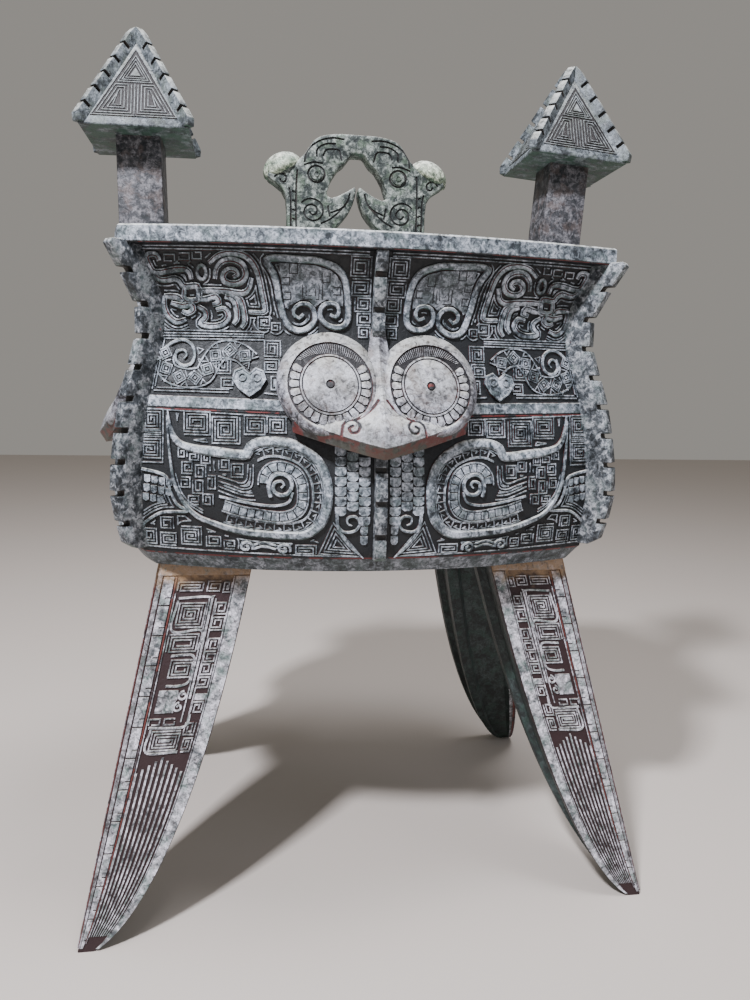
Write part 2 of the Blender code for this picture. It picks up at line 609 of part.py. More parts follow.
def post_and_cap(foot_x, lean_degrees):
    """A square post on the rim with a notched pyramid on top."""
    side = math.copysign(1, foot_x)
    matrix = lean(foot_x, lean_degrees)
    upright = Matrix.Identity(4)
    half_x, half_y = POST_WIDTH / 2, POST_DEPTH / 2
    loft("post", [box_ring(foot_x, half_x, half_y, THROAT_Z + POST_FOOT_GAP, upright),
                  box_ring(foot_x, half_x, half_y, RIM_TOP_Z + POST_KNEE, upright),
                  box_ring(foot_x, half_x * POST_TAPER, half_y * POST_TAPER, CAP_Z + POST_ROOT, matrix)])
    inner_x = abs(foot_x) - half_x
    wall_x = half_width(THROAT_Z) + SIDE_BULGE_SHARE * bulge(THROAT_Z) - WALL / 2
    low_z = THROAT_Z - BRACKET_DROP
    low_x = half_width(low_z) + SIDE_BULGE_SHARE * bulge(low_z) - WALL / 2
    half_bracket = half_y * BRACKET_SHARE
    half_foot = half_bracket * BRACKET_FOOT_SHARE
    loft("post_bracket", [
        box_ring(side * (low_x - BRACKET_FOOT), BRACKET_FOOT, half_foot, low_z, upright),
        box_ring(side * (inner_x + wall_x) / 2, (wall_x - inner_x) / 2, half_bracket, THROAT_Z + BRACKET_ROOT,
                 upright)])
    loft("cap", [box_ring(foot_x, CAP_HALF_WIDTH, CAP_HALF_DEPTH, CAP_Z, matrix),
                 box_ring(foot_x, CAP_HALF_WIDTH, CAP_HALF_DEPTH, CAP_Z + CAP_EDGE, matrix),
                 box_ring(foot_x, CAP_POINT, CAP_POINT, CAP_Z + CAP_HEIGHT, matrix)])
    half_diagonal = math.hypot(CAP_HALF_WIDTH, CAP_HALF_DEPTH)
    slope = Vector((-half_diagonal, CAP_HEIGHT)).normalized()
    outward = Vector((slope.y, -slope.x))
    base = Vector((half_diagonal, CAP_Z))
    crown = (CAP_TOP_Z - CAP_CROWN - CAP_Z - outward.y * CAP_FLANGE_REACH) / slope.y

    def edge(t):
        return base + outward * CAP_FLANGE_REACH + slope * t

    def inward(t):
        return -outward

    slope_points = [tuple(base + Vector((-CAP_FLANGE_REACH, CAP_EDGE)))]
    slope_points.append(tuple(base + outward * CAP_FLANGE_REACH * CAP_SHOULDER_SHARE))
    slope_points.append(tuple(edge(CAP_FLANGE_CUT)))
    slope_points += notched_edge(CAP_PLAIN_FOOT, crown - CAP_PLAIN_TOP, edge, inward, CAP_NOTCHES,
                                 NOTCH_DEPTH)
    crown_edge = edge(crown)
    slope_points += [tuple(crown_edge), (crown_edge.x * CAP_CROWN_SHARE, CAP_TOP_Z)]
    outline = slope_points + [(-along, up) for along, up in reversed(slope_points)]
    unit_x, unit_y = CAP_HALF_WIDTH / half_diagonal, CAP_HALF_DEPTH / half_diagonal
    for turn in (-1, 1):
        def place(along, up, across):
            x = along * unit_x - across * unit_y * turn
            y = turn * along * unit_y + across * unit_x
            return matrix @ Vector((foot_x + x, y, up))
        plate("cap_flange", outline, place, CAP_FLANGE_THICKNESS)


def handle():
    """The beast-headed handle on the back, a C in the plane of the vessel's depth."""
    rings = []
    middle_z, half_z = (HANDLE_TOP_Z + HANDLE_FOOT_Z) / 2, (HANDLE_TOP_Z - HANDLE_FOOT_Z) / 2
    root_y = half_width(middle_z) - DEPTH_LESS + bulge(middle_z) - WALL / 2
    reach = HANDLE_REACH_Y - HANDLE_THICKNESS / 2 - root_y
    for i in range(HANDLE_STEPS + 1):
        angle = math.pi * (i / HANDLE_STEPS - 0.5)
        bow = abs(math.cos(angle))**HANDLE_BOW
        centre = Vector((0, root_y + reach * bow, middle_z - half_z * math.sin(angle)))
        turn = Matrix.Rotation(-angle * HANDLE_TURN, 4, "X")
        ring = []
        for x, y in HANDLE_SECTION:
            offset = Vector((x * HANDLE_WIDTH / 2, y * HANDLE_THICKNESS / 2, 0))
            ring.append(centre + turn @ offset)
        rings.append(ring)
    loft("handle", rings)
    head_z = HANDLE_TOP_Z - HANDLE_THICKNESS * HEAD_DROP_SHARE
    wall_y = half_width(head_z) - DEPTH_LESS + bulge(head_z) - WALL / 2
    head_rings = []
    for y, scale in HEAD_LEVELS:
        ring = []
        for i in range(HEAD_SIDES):
            angle = 2 * math.pi * (i + 0.5) / HEAD_SIDES
            ring.append((HANDLE_HEAD * scale * math.cos(angle), wall_y + y,
                         head_z + HANDLE_HEAD * HEAD_FLATNESS * scale * math.sin(angle)))
        head_rings.append(ring)
    loft("handle_head", head_rings)
    for sign in (-1, 1):
        horn_rings = []
        for along, size in HEAD_HORN_LEVELS:
            x, y, z = (foot + run * along for foot, run in zip(HEAD_HORN_FOOT, HEAD_HORN_RUN))
            half = HEAD_HORN_WIDTH / 2 * size
            horn_rings.append([(sign * x + i * half, wall_y + y + j * half, head_z + z - sign * i * half / 2)
                               for i, j in ((-1, -1), (1, -1), (1, 1), (-1, 1))])
        loft("handle_horn", horn_rings)


def lid_plate():
    """The lid: a low hipped plate that drops on the ledge inside the rim."""
    seat_z = RIM_TOP_Z - LEDGE_DROP + SEAT_GAP
    half = RIM_HALF - LIP_WIDTH - LID_CLEARANCE
    top_z = seat_z + LID_THICKNESS
    inner_half = half - LID_BORDER
    crown_half = (half + DEPTH_LESS) / 2
    rings = [plan_ring(seat_z, half, RIM_BULGE), plan_ring(top_z, half, RIM_BULGE),
             plan_ring(top_z + LID_RISE * 0.5, inner_half, RIM_BULGE),
             plan_ring(top_z + LID_RISE, crown_half, RIM_BULGE * 0.4)]
    return loft("lid", rings, PARTS, LID_BRONZE)


def bird_outline():
    """The pair of birds: mirrored halves that join in the arch over their heads."""
    right = [(x, RIM_TOP_Z + up) for x, up in BIRD_INNER + BIRD_OUTER]
    return right + [(-x, z) for x, z in reversed(right)]


def birds():
    """The knob, with round eyes, curled cheeks and a bun-shaped crest on each bird."""
    def place(along, up, side):
        return (BIRDS_X + along, side, up)

    plate("birds", bird_outline(), place, BIRD_THICKNESS, LID_CASTINGS, LID_BRONZE)
    for sign in (-1, 1):
        for (x, up), radius in ((BIRD_EYE, BIRD_EYE_RADIUS), (CHEEK_SPIRAL, CHEEK_RADIUS)):
            disc = []
            for i in range(BIRD_DISC_SIDES):
                angle = 2 * math.pi * (i + 0.5) / BIRD_DISC_SIDES
                disc.append((sign * x + radius * math.cos(angle), RIM_TOP_Z + up + radius * math.sin(angle)))
            plate("bird_disc", disc, place, BIRD_THICKNESS + 2 * BIRD_EYE_HEIGHT, LID_CASTINGS, LID_BRONZE)
        mesh = bmesh.new()
        bmesh.ops.create_uvsphere(mesh, u_segments=12, v_segments=8, radius=BUN_RADIUS)
        size = Matrix.Diagonal((*BUN_STRETCH, 1))
        turn = Matrix.Rotation(math.radians(sign * BUN_TILT), 4, "Y")
        bmesh.ops.transform(mesh, matrix=turn @ size, verts=mesh.verts)
        bun = add_mesh("bird_crest", mesh, LID_BRONZE, LID_CASTINGS)
        bun.location = (BIRDS_X + sign * BIRD_BUN[0], 0, RIM_TOP_Z + BIRD_BUN[1])


def post_notches():
    """Cutters for the lid's two notches, which clear the posts."""
    cutters = []
    for foot_x in (LEFT_POST_X, RIGHT_POST_X):
        gap = LID_CLEARANCE * 2
        shift = math.copysign(NOTCH_OVERRUN / 2, foot_x)
        heights = (RIM_TOP_Z - NOTCH_OVERRUN, RIM_TOP_Z + NOTCH_OVERRUN)
        rings = [box_ring(foot_x + shift, (POST_WIDTH + NOTCH_OVERRUN) / 2 + gap, POST_DEPTH / 2 + gap, z,
                          Matrix.Identity(4)) for z in heights]
        cutters.append(loft("post_notch", rings, LID_CUTTERS, LID_BRONZE))
    return cutters


def join(target, collection):
    """Unites a piece with every casting in a collection."""
    union = target.modifiers.new("castings", "BOOLEAN")
    union.operation = "UNION"
    union.operand_type = "COLLECTION"
    union.collection = collection
    union.solver = "EXACT"


def tidy(target):
    """Merges the faces that lie in one plane and splits the rest into triangles."""
    flat = target.modifiers.new("flat_faces", "DECIMATE")
    flat.decimate_type = "DISSOLVE"
    flat.angle_limit = math.radians(0.5)
    split = target.modifiers.new("triangles", "TRIANGULATE")
    split.quad_method = "BEAUTY"
    split.ngon_method = "BEAUTY"


vessel = body_shell()
corner_flanges()
for wall in (FRONT, LEFT, RIGHT):
    middle_flange(wall, BASE_Z - MIDDLE_ROOT / 2, BEAK_TIP_Z + MIDDLE_ROOT, LOWER_NOTCHES)
    middle_flange(wall, BEAK_TOP_Z - MIDDLE_ROOT, THROAT_Z + MIDDLE_ROOT / 2, UPPER_NOTCHES)
    owl_share = 1 if is_wide(wall) else SIDE_OWL_SHARE
    for eye_side in (-1, 1):
        owl_eye(wall, eye_side, owl_share)
    owl_beak(wall, owl_share)
for wall in (FRONT, RIGHT, BACK, LEFT):
    wall_relief(wall)
for foot_place, leg_width in ((FRONT_LEFT_FOOT, FRONT_LEFT_WIDTH), (FRONT_RIGHT_FOOT, FRONT_RIGHT_WIDTH),
                              (BACK_RIGHT_FOOT, BACK_WIDTH), (BACK_LEFT_FOOT, BACK_WIDTH)):
    leg(foot_place, leg_width)
post_and_cap(LEFT_POST_X, LEFT_POST_LEAN)
post_and_cap(RIGHT_POST_X, RIGHT_POST_LEAN)
handle()
join(vessel, CASTINGS)
tidy(vessel)

lid = lid_plate()
for cutter in post_notches():
    cut = lid.modifiers.new("post_notch", "BOOLEAN")
    cut.operation = "DIFFERENCE"
    cut.object = cutter
    cut.solver = "EXACT"
birds()
join(lid, LID_CASTINGS)
tidy(lid)
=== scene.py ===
"""A bronze wine vessel of rectangular plan, with owl faces, notched flanges and a loose lid.

The script follows the object as it is put together: the camera and light, the
walls, the relief on them, the owl masks, flanges, legs, posts, handle and lid.
"""
import math

import bmesh
import bpy
import numpy as np
from mathutils import Matrix, Vector


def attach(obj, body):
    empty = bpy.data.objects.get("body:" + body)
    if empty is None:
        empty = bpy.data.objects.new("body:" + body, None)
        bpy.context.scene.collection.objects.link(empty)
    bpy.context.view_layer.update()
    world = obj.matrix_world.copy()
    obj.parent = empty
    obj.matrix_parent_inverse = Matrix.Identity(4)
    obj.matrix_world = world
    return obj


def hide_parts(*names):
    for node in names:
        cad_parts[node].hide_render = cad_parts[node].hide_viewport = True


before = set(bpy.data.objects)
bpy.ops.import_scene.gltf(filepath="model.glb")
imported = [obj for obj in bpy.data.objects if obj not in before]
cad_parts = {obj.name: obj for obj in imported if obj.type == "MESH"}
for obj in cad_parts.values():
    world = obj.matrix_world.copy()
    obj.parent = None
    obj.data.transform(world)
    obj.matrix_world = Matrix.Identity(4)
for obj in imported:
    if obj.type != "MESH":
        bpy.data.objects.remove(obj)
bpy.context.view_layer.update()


# Camera, floor and light
# The vessel is seen from a little above the rim, turned slightly to its left.
CAMERA_PLACE = Vector((-0.08753, -0.67900, 0.38949))
CAMERA_YAW = math.radians(8.915)
CAMERA_PITCH = math.radians(7.809)
CAMERA_ROLL = math.radians(1.160)
FOCAL_PIXELS = 784.2
IMAGE_HEIGHT = 1000
SENSOR = 36.0

forward = Vector((math.sin(CAMERA_YAW) * math.cos(CAMERA_PITCH),
                  math.cos(CAMERA_YAW) * math.cos(CAMERA_PITCH), -math.sin(CAMERA_PITCH)))
level_right = Vector((math.cos(CAMERA_YAW), -math.sin(CAMERA_YAW), 0))
level_up = level_right.cross(forward)
camera_right = math.cos(CAMERA_ROLL) * level_right + math.sin(CAMERA_ROLL) * level_up
camera_up = camera_right.cross(forward)
camera_data = bpy.data.cameras.new("camera")
camera_data.sensor_fit = "AUTO"
camera_data.sensor_width = SENSOR
camera_data.lens = FOCAL_PIXELS / IMAGE_HEIGHT * SENSOR
camera = bpy.data.objects.new("camera", camera_data)
turn = Matrix((camera_right, camera_up, -forward)).transposed()
camera.matrix_world = Matrix.Translation(CAMERA_PLACE) @ turn.to_4x4()
bpy.context.scene.collection.objects.link(camera)
bpy.context.scene.camera = camera

FLOOR_SIZE = 8.0


def linear(code):
    """Turns an sRGB hex colour into linear values with alpha."""
    parts = [int(code[i:i + 2], 16) / 255 for i in (1, 3, 5)]
    return tuple(c / 12.92 if c <= 0.04045 else ((c + 0.055) / 1.055)**2.4 for c in parts) + (1.0,)


def deselect():
    """Leaves nothing selected, in object mode."""
    bpy.ops.object.select_all(action="DESELECT")


deselect()
bpy.ops.mesh.primitive_plane_add(size=FLOOR_SIZE, location=(0, 0, 0))
floor = bpy.context.object
floor.name = "floor"
floor_paint = bpy.data.materials.new("pale_floor_paint")
floor_paint.use_nodes = True
floor_shader = floor_paint.node_tree.nodes["Principled BSDF"]
floor_shader.inputs["Base Color"].default_value = linear("#C0B6AD")
floor_shader.inputs["Roughness"].default_value = 0.7
floor.data.materials.append(floor_paint)

world = bpy.data.worlds.new("soft_studio")
bpy.context.scene.world = world
world.use_nodes = True
backdrop = world.node_tree.nodes["Background"]
backdrop.inputs["Color"].default_value = linear("#B9B5AF")
backdrop.inputs["Strength"].default_value = 0.60


def softbox(name, place, target, size, power, colour):
    """A square area light that faces its target."""
    data = bpy.data.lights.new(name, "AREA")
    data.size = size
    data.energy = power
    data.color = linear(colour)[:3]
    lamp = bpy.data.objects.new(name, data)
    lamp.location = place
    lamp.rotation_euler = (Vector(target) - Vector(place)).to_track_quat("-Z", "Y").to_euler()
    bpy.context.scene.collection.objects.link(lamp)


softbox("key_light", (-0.75, -1.00, 1.75), (0, 0, 0.35), 0.16, 75, "#F4F6FF")
softbox("top_light", (0.25, -0.15, 1.90), (0, 0, 0.45), 0.50, 22, "#F6F8FF")
softbox("side_light", (1.30, -0.90, 1.00), (0, 0, 0.35), 0.8, 4, "#E8F0FF")
softbox("front_fill", (-0.20, -1.90, 0.35), (0, 0, 0.25), 1.4, 5, "#EEF2FF")


# Walls
# The cast body: four swelling walls that meet at sharp corners, a rim band,
# a ledge for the lid and a flat underside. Cast bronze, hollow, 5 mm thick.
RIM_TOP_Z = 0.4978
RIM_HEIGHT = 0.0120
RIM_HALF = 0.1769
RIM_BULGE = 0.0207
THROAT_Z = RIM_TOP_Z - RIM_HEIGHT
BASE_Z = 0.2740
UNDERSIDE_Z = 0.2620
UNDERSIDE_HALF = 0.1575
DEPTH_LESS = 0.0600
SIDE_BULGE_SHARE = 0.70
WALL = 0.0050
FLOOR_THICKNESS = 0.0070
LIP_WIDTH = 0.0120
LEDGE_DROP = 0.0075
LEDGE_WIDTH = 0.0080
LEDGE_THICKNESS = 0.0080
# Heights with the corner's half width and the wide walls' swelling there
HALF_KNOTS = ((BASE_Z, 0.1655), (0.3180, 0.1697), (0.3805, 0.1642), (0.4400, 0.1533), (THROAT_Z, 0.1668))
BULGE_KNOTS = ((BASE_Z, 0.0360), (0.3180, 0.0340), (0.3805, 0.0280), (0.4400, 0.0220),
    (RIM_TOP_Z, RIM_BULGE))
FRONT, RIGHT, BACK, LEFT = 0, 1, 2, 3


def eased(z, knots):
    """Values at the heights z of a smooth curve through (height, value) knots."""
    heights = np.array([knot[0] for knot in knots])
    values = np.array([knot[1] for knot in knots])
    ends = list(range(len(knots)))
    slopes = np.array([(values[min(i + 1, ends[-1])] - values[max(i - 1, 0)])
                       / (heights[min(i + 1, ends[-1])] - heights[max(i - 1, 0)]) for i in ends])
    z = np.clip(np.asarray(z, float), heights[0], heights[-1])
    i = np.clip(np.searchsorted(heights, z) - 1, 0, len(knots) - 2)
    span = heights[i + 1] - heights[i]
    t = (z - heights[i]) / span
    return ((2 * t**3 - 3 * t**2 + 1) * values[i] + (t**3 - 2 * t**2 + t) * span * slopes[i]
            + (3 * t**2 - 2 * t**3) * values[i + 1] + (t**3 - t**2) * span * slopes[i + 1])


def wall_point(face, across, z, out, half=None, swell=None):
    """Points `out` in front of a wall, `across` from its middle, at height z."""
    across, z = np.broadcast_arrays(np.asarray(across, float), np.asarray(z, float))
    half = eased(z, HALF_KNOTS) if half is None else half
    swell = eased(z, BULGE_KNOTS) if swell is None else swell
    if face in (FRONT, BACK):
        corner, reach = half, half - DEPTH_LESS
    else:
        corner, reach, swell = half - DEPTH_LESS, half, swell * SIDE_BULGE_SHARE
    distance = reach + swell * (1 - (across / corner)**2) + out
    x, y = across, -distance
    for _ in range(face):
        x, y = -y, x
    return np.stack((x, y, z), axis=-1)


def select_only(piece):
    """Makes a piece the active one and the only one selected."""
    deselect()
    bpy.context.view_layer.objects.active = piece
    piece.select_set(True)


def shade_smooth(piece, sharpest):
    """Shades a piece smooth, but for edges sharper than an angle in degrees."""
    select_only(piece)
    bpy.ops.object.shade_smooth_by_angle(angle=math.radians(sharpest))
    deselect()


def finish_mesh(name, points, faces, finish, crest=None, smooth_angle=None):
    """Makes a piece from points and faces, with its relief height stored as `crest`."""
    data = bpy.data.meshes.new(name)
    data.from_pydata([tuple(point) for point in points], [], faces)
    data.validate()
    crest = np.ones(len(points)) if crest is None else np.asarray(crest, float)
    store = data.attributes.new("crest", "FLOAT", "POINT")
    store.data.foreach_set("value", crest.astype(np.float32))
    data.materials.append(finish)
    piece = bpy.data.objects.new(name, data)
    bpy.context.scene.collection.objects.link(piece)
    if smooth_angle is not None:
        shade_smooth(piece, smooth_angle)
    return piece


def face_outward(piece):
    """Merges doubles and turns every closed shell's faces outward."""
    mesh = bmesh.new()
    mesh.from_mesh(piece.data)
    bmesh.ops.remove_doubles(mesh, verts=mesh.verts, dist=0.000002)
    bmesh.ops.recalc_face_normals(mesh, faces=mesh.faces)
    mesh.to_mesh(piece.data)
    mesh.free()


def ring_faces(count_rings, count_points, start=0, closed=True, capped=True):
    """Quads between rings that follow each other, and the two end caps."""
    faces = []
    last = count_points if closed else count_points - 1
    for i in range(count_rings - 1):
        for j in range(last):
            k = (j + 1) % count_points
            a, b = start + i * count_points, start + (i + 1) * count_points
            faces.append((a + j, a + k, b + k, b + j))
    if capped:
        end = start + (count_rings - 1) * count_points
        faces.append(tuple(start + j for j in reversed(range(count_points))))
        faces.append(tuple(end + j for j in range(count_points)))
    return faces


# The patina: a mineral crust on cast bronze, matt, pale grey-green where it is
# rubbed and raised, blackish in the recesses, with red cinnabar left along the
# feet of the lines, pale dust with painted top light on what faces up, and
# malachite with painted underside shade on what faces down
DUST_AND_TOP_LIGHT = "#DCDBD0"
MALACHITE_AND_UNDERSIDE_SHADE = "#2E4A3E"


def node(tree, kind, links=None, **settings):
    """Adds a shader node with its settings, socket values and links."""
    made = tree.nodes.new(kind)
    for key, value in settings.items():
        setattr(made, key, value)
    for socket, source in (links or {}).items():
        target = made.inputs[socket]
        if isinstance(source, bpy.types.NodeSocket):
            tree.links.new(source, target)
        else:
            target.default_value = source
    return made


def patina(name, pale, middle, dark, tint, ground, red, red_share, cloud_mm=16, tint_share=0.45, stain_and_shade_band=None,
           dust_and_facing_light=True):
    """A Principled finish whose colours follow the relief height and several noises."""
    material = bpy.data.materials.new(name)
    material.use_nodes = True
    tree = material.node_tree
    shader = tree.nodes["Principled BSDF"]
    place = node(tree, "ShaderNodeTexCoord").outputs["Object"]

    def noise(size_mm, detail, roughness, distortion=0.0):
        values = {"Vector": place, "Scale": 1000 / size_mm, "Detail": detail, "Roughness": roughness,
                  "Distortion": distortion}
        return node(tree, "ShaderNodeTexNoise", values).outputs["Fac"]

    def ranged(value, low, high, to_low=0.0, to_high=1.0):
        values = {"Value": value, "From Min": low, "From Max": high, "To Min": to_low, "To Max": to_high}
        return node(tree, "ShaderNodeMapRange", values).outputs["Result"]

    def mixed(share, first, second, kind="MIX"):
        values = {"Factor": share, "A": first, "B": second}
        return node(tree, "ShaderNodeMix", values, data_type="RGBA", blend_type=kind).outputs["Result"]

    def times(first, second):
        return node(tree, "ShaderNodeMath", {0: first, 1: second}, operation="MULTIPLY").outputs["Value"]

    def added(first, share, second):
        values = {0: first, 1: share, 2: second}
        return node(tree, "ShaderNodeMath", values, operation="MULTIPLY_ADD").outputs["Value"]

    clouds, blots, grit = noise(cloud_mm, 5.0, 0.62), noise(4.2, 4.0, 0.62, 0.8), noise(1.3, 2.0, 0.6)
    pits, islands = noise(2.3, 3.0, 0.55, 0.5), noise(11.0, 3.0, 0.6, 0.4)
    height = node(tree, "ShaderNodeAttribute", attribute_name="crest").outputs["Fac"]
    facing = node(tree, "ShaderNodeSeparateXYZ", {0: node(tree, "ShaderNodeNewGeometry").outputs["Normal"]})
    up = facing.outputs["Z"]
    crust = node(tree, "ShaderNodeValToRGB", {"Fac": ranged(added(blots, 1.1, clouds), 0.82, 1.28)})
    ramp = crust.color_ramp
    ramp.elements[0].position, ramp.elements[0].color = 0.05, linear(dark)
    ramp.elements[1].position, ramp.elements[1].color = 0.90, linear(pale)
    ramp.elements.new(0.42).color = linear(middle)
    crust_tone = mixed(ranged(islands, 0.50, 0.62, 0.0, tint_share), crust.outputs["Color"], linear(tint))
    speckle = ranged(grit, 0.32, 0.68, 0.66, 1.30)
    grey = node(tree, "ShaderNodeCombineColor", {"Red": speckle, "Green": speckle, "Blue": speckle})
    crust_tone = mixed(1.0, crust_tone, grey.outputs["Color"], "MULTIPLY")
    crust_tone = mixed(ranged(pits, 0.60, 0.68, 0.0, 0.75), crust_tone, linear(ground))
    # Up-facing surfaces mix to pale dust with painted top light; down-facing ones mix to malachite with
    # painted underside shade
    if dust_and_facing_light:
        crust_tone = mixed(times(ranged(up, 0.35, 0.95), ranged(blots, 0.36, 0.50, 0.15, 0.70)), crust_tone, linear(DUST_AND_TOP_LIGHT))
        crust_tone = mixed(times(ranged(up, -0.45, -0.95), ranged(islands, 0.42, 0.56, 0.15, 0.80)), crust_tone,
                     linear(MALACHITE_AND_UNDERSIDE_SHADE))
    colour = mixed(ranged(added(blots, 0.5, height), 0.52, 1.15), linear(ground), crust_tone)
    line = times(ranged(height, 0.05, 0.16), ranged(height, 0.46, 0.32))
    patches = ranged(islands, 0.54 - red_share, 0.60 - red_share, 0.0, 0.85)
    colour = mixed(times(line, patches), colour, linear(red))
    # A colour band by height: an ochre stain at the legs' tops, and malachite with painted shade low on the
    # owl masks
    if stain_and_shade_band:
        stain_and_shade_colour, low_z, high_z = stain_and_shade_band
        level = node(tree, "ShaderNodeSeparateXYZ", {0: place}).outputs["Z"]
        ragged = ranged(added(islands, 0.03, level), low_z + 0.015, high_z + 0.015)
        colour = mixed(times(ragged, ranged(blots, 0.35, 0.5, 0.4, 0.9)), colour, linear(stain_and_shade_colour))
    tree.links.new(colour, shader.inputs["Base Color"])
    tree.links.new(ranged(blots, 0.35, 0.65, 0.45, 0.70), shader.inputs["Roughness"])
    pitting = {"Height": added(grit, 0.6, blots), "Strength": 0.6, "Distance": 0.0006}
    bump = node(tree, "ShaderNodeBump", pitting)
    tree.links.new(bump.outputs["Normal"], shader.inputs["Normal"])
    shader.inputs["Metallic"].default_value = 0.20
    return material


WALL_PATINA = patina("grey_green_bronze_patina", pale="#BAC0CB", middle="#6E767D", dark="#2A3036",
                     tint="#5E6C6C", ground="#121518", red="#6E2826", red_share=0.10)

WIDE_STEPS = 72
NARROW_STEPS = 48


def plan_ring(z, half, swell=None):
    """A level ring round all four walls at one height."""
    rings = []
    for face in (FRONT, RIGHT, BACK, LEFT):
        corner = half if face in (FRONT, BACK) else half - DEPTH_LESS
        steps = WIDE_STEPS if face in (FRONT, BACK) else NARROW_STEPS
        across = corner * (2 * np.arange(steps) / steps - 1)
        rings.append(wall_point(face, across, np.full(steps, z), 0, half, swell))
    return np.concatenate(rings)


RIM_ROUNDING = 0.0012
ledge_z = RIM_TOP_Z - LEDGE_DROP
ledge_foot_z = ledge_z - LEDGE_THICKNESS
mouth_half = RIM_HALF - LIP_WIDTH
outer_z = np.linspace(BASE_Z, THROAT_Z, 44)
inner_z = np.linspace(ledge_foot_z - 0.012, UNDERSIDE_Z + 2.5 * FLOOR_THICKNESS, 12)
wall_rings = [plan_ring(UNDERSIDE_Z, UNDERSIDE_HALF, 0.0355), plan_ring(BASE_Z - 0.002, 0.1640, 0.0360)]
wall_rings += [plan_ring(z, float(eased(z, HALF_KNOTS))) for z in outer_z]
for z, half in ((THROAT_Z, RIM_HALF - RIM_ROUNDING), (THROAT_Z + RIM_ROUNDING, RIM_HALF),
                (RIM_TOP_Z - RIM_ROUNDING, RIM_HALF), (RIM_TOP_Z, RIM_HALF - RIM_ROUNDING),
                (RIM_TOP_Z, mouth_half), (ledge_z, mouth_half), (ledge_z, mouth_half - LEDGE_WIDTH),
                (ledge_foot_z, mouth_half - LEDGE_WIDTH)):
    wall_rings.append(plan_ring(z, half, RIM_BULGE))
wall_rings += [plan_ring(z, float(eased(z, HALF_KNOTS)) - WALL) for z in inner_z]
wall_rings.append(plan_ring(UNDERSIDE_Z + FLOOR_THICKNESS, UNDERSIDE_HALF - WALL))
wall_points = np.concatenate(wall_rings)
# The strip under the rim and the decorated registers are ground, the rim and bands are crust
wall_crest = np.where(wall_points[:, 2] > THROAT_Z + 0.0005, 0.9,
                      np.where(wall_points[:, 2] > BASE_Z - 0.001, 0.0, 0.56))
walls = finish_mesh("walls", wall_points, ring_faces(len(wall_rings), len(wall_rings[0])), WALL_PATINA,
                    wall_crest, 35)
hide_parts("vessel")
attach(walls, "root")


# Relief on the walls
# Lines and bands of bronze, cast in one with the wall: raised horns, dragons,
# snakes and wings, with thin square-cornered thunder lines over dark ground.
MM = 0.001
LINE_WIDTH = 0.95           # millimetres, as all the drawing on the walls is
LINE_HEIGHT = 1.1
LINE_PITCH = 2.0
BAND_HEIGHT = 2.0
FOOT = 0.20                 # the lines' sides slope out by this much to the ground
SUNK = 0.4                  # and go this far into it
THIN_CREST = 0.80           # thin lines are a little less rubbed than the broad bands
GREY_CREST = 0.66           # flat grey fields are less rubbed still
RED_CREST = 0.28            # a line at this share of the relief height keeps its red


def new_relief():
    """An empty store for the relief of one piece."""
    return {"points": [], "faces": [], "crest": [], "count": 0}


def dense(path, longest=10.0):
    """A path with no stretch longer than `longest` millimetres, so it follows a curved wall."""
    made = [path[:1]]
    for start, end in zip(path, path[1:]):
        count = max(1, math.ceil(np.hypot(*(end - start)) / longest))
        made.append(start + (end - start) * (np.arange(1, count + 1) / count)[:, None])
    return np.concatenate(made)


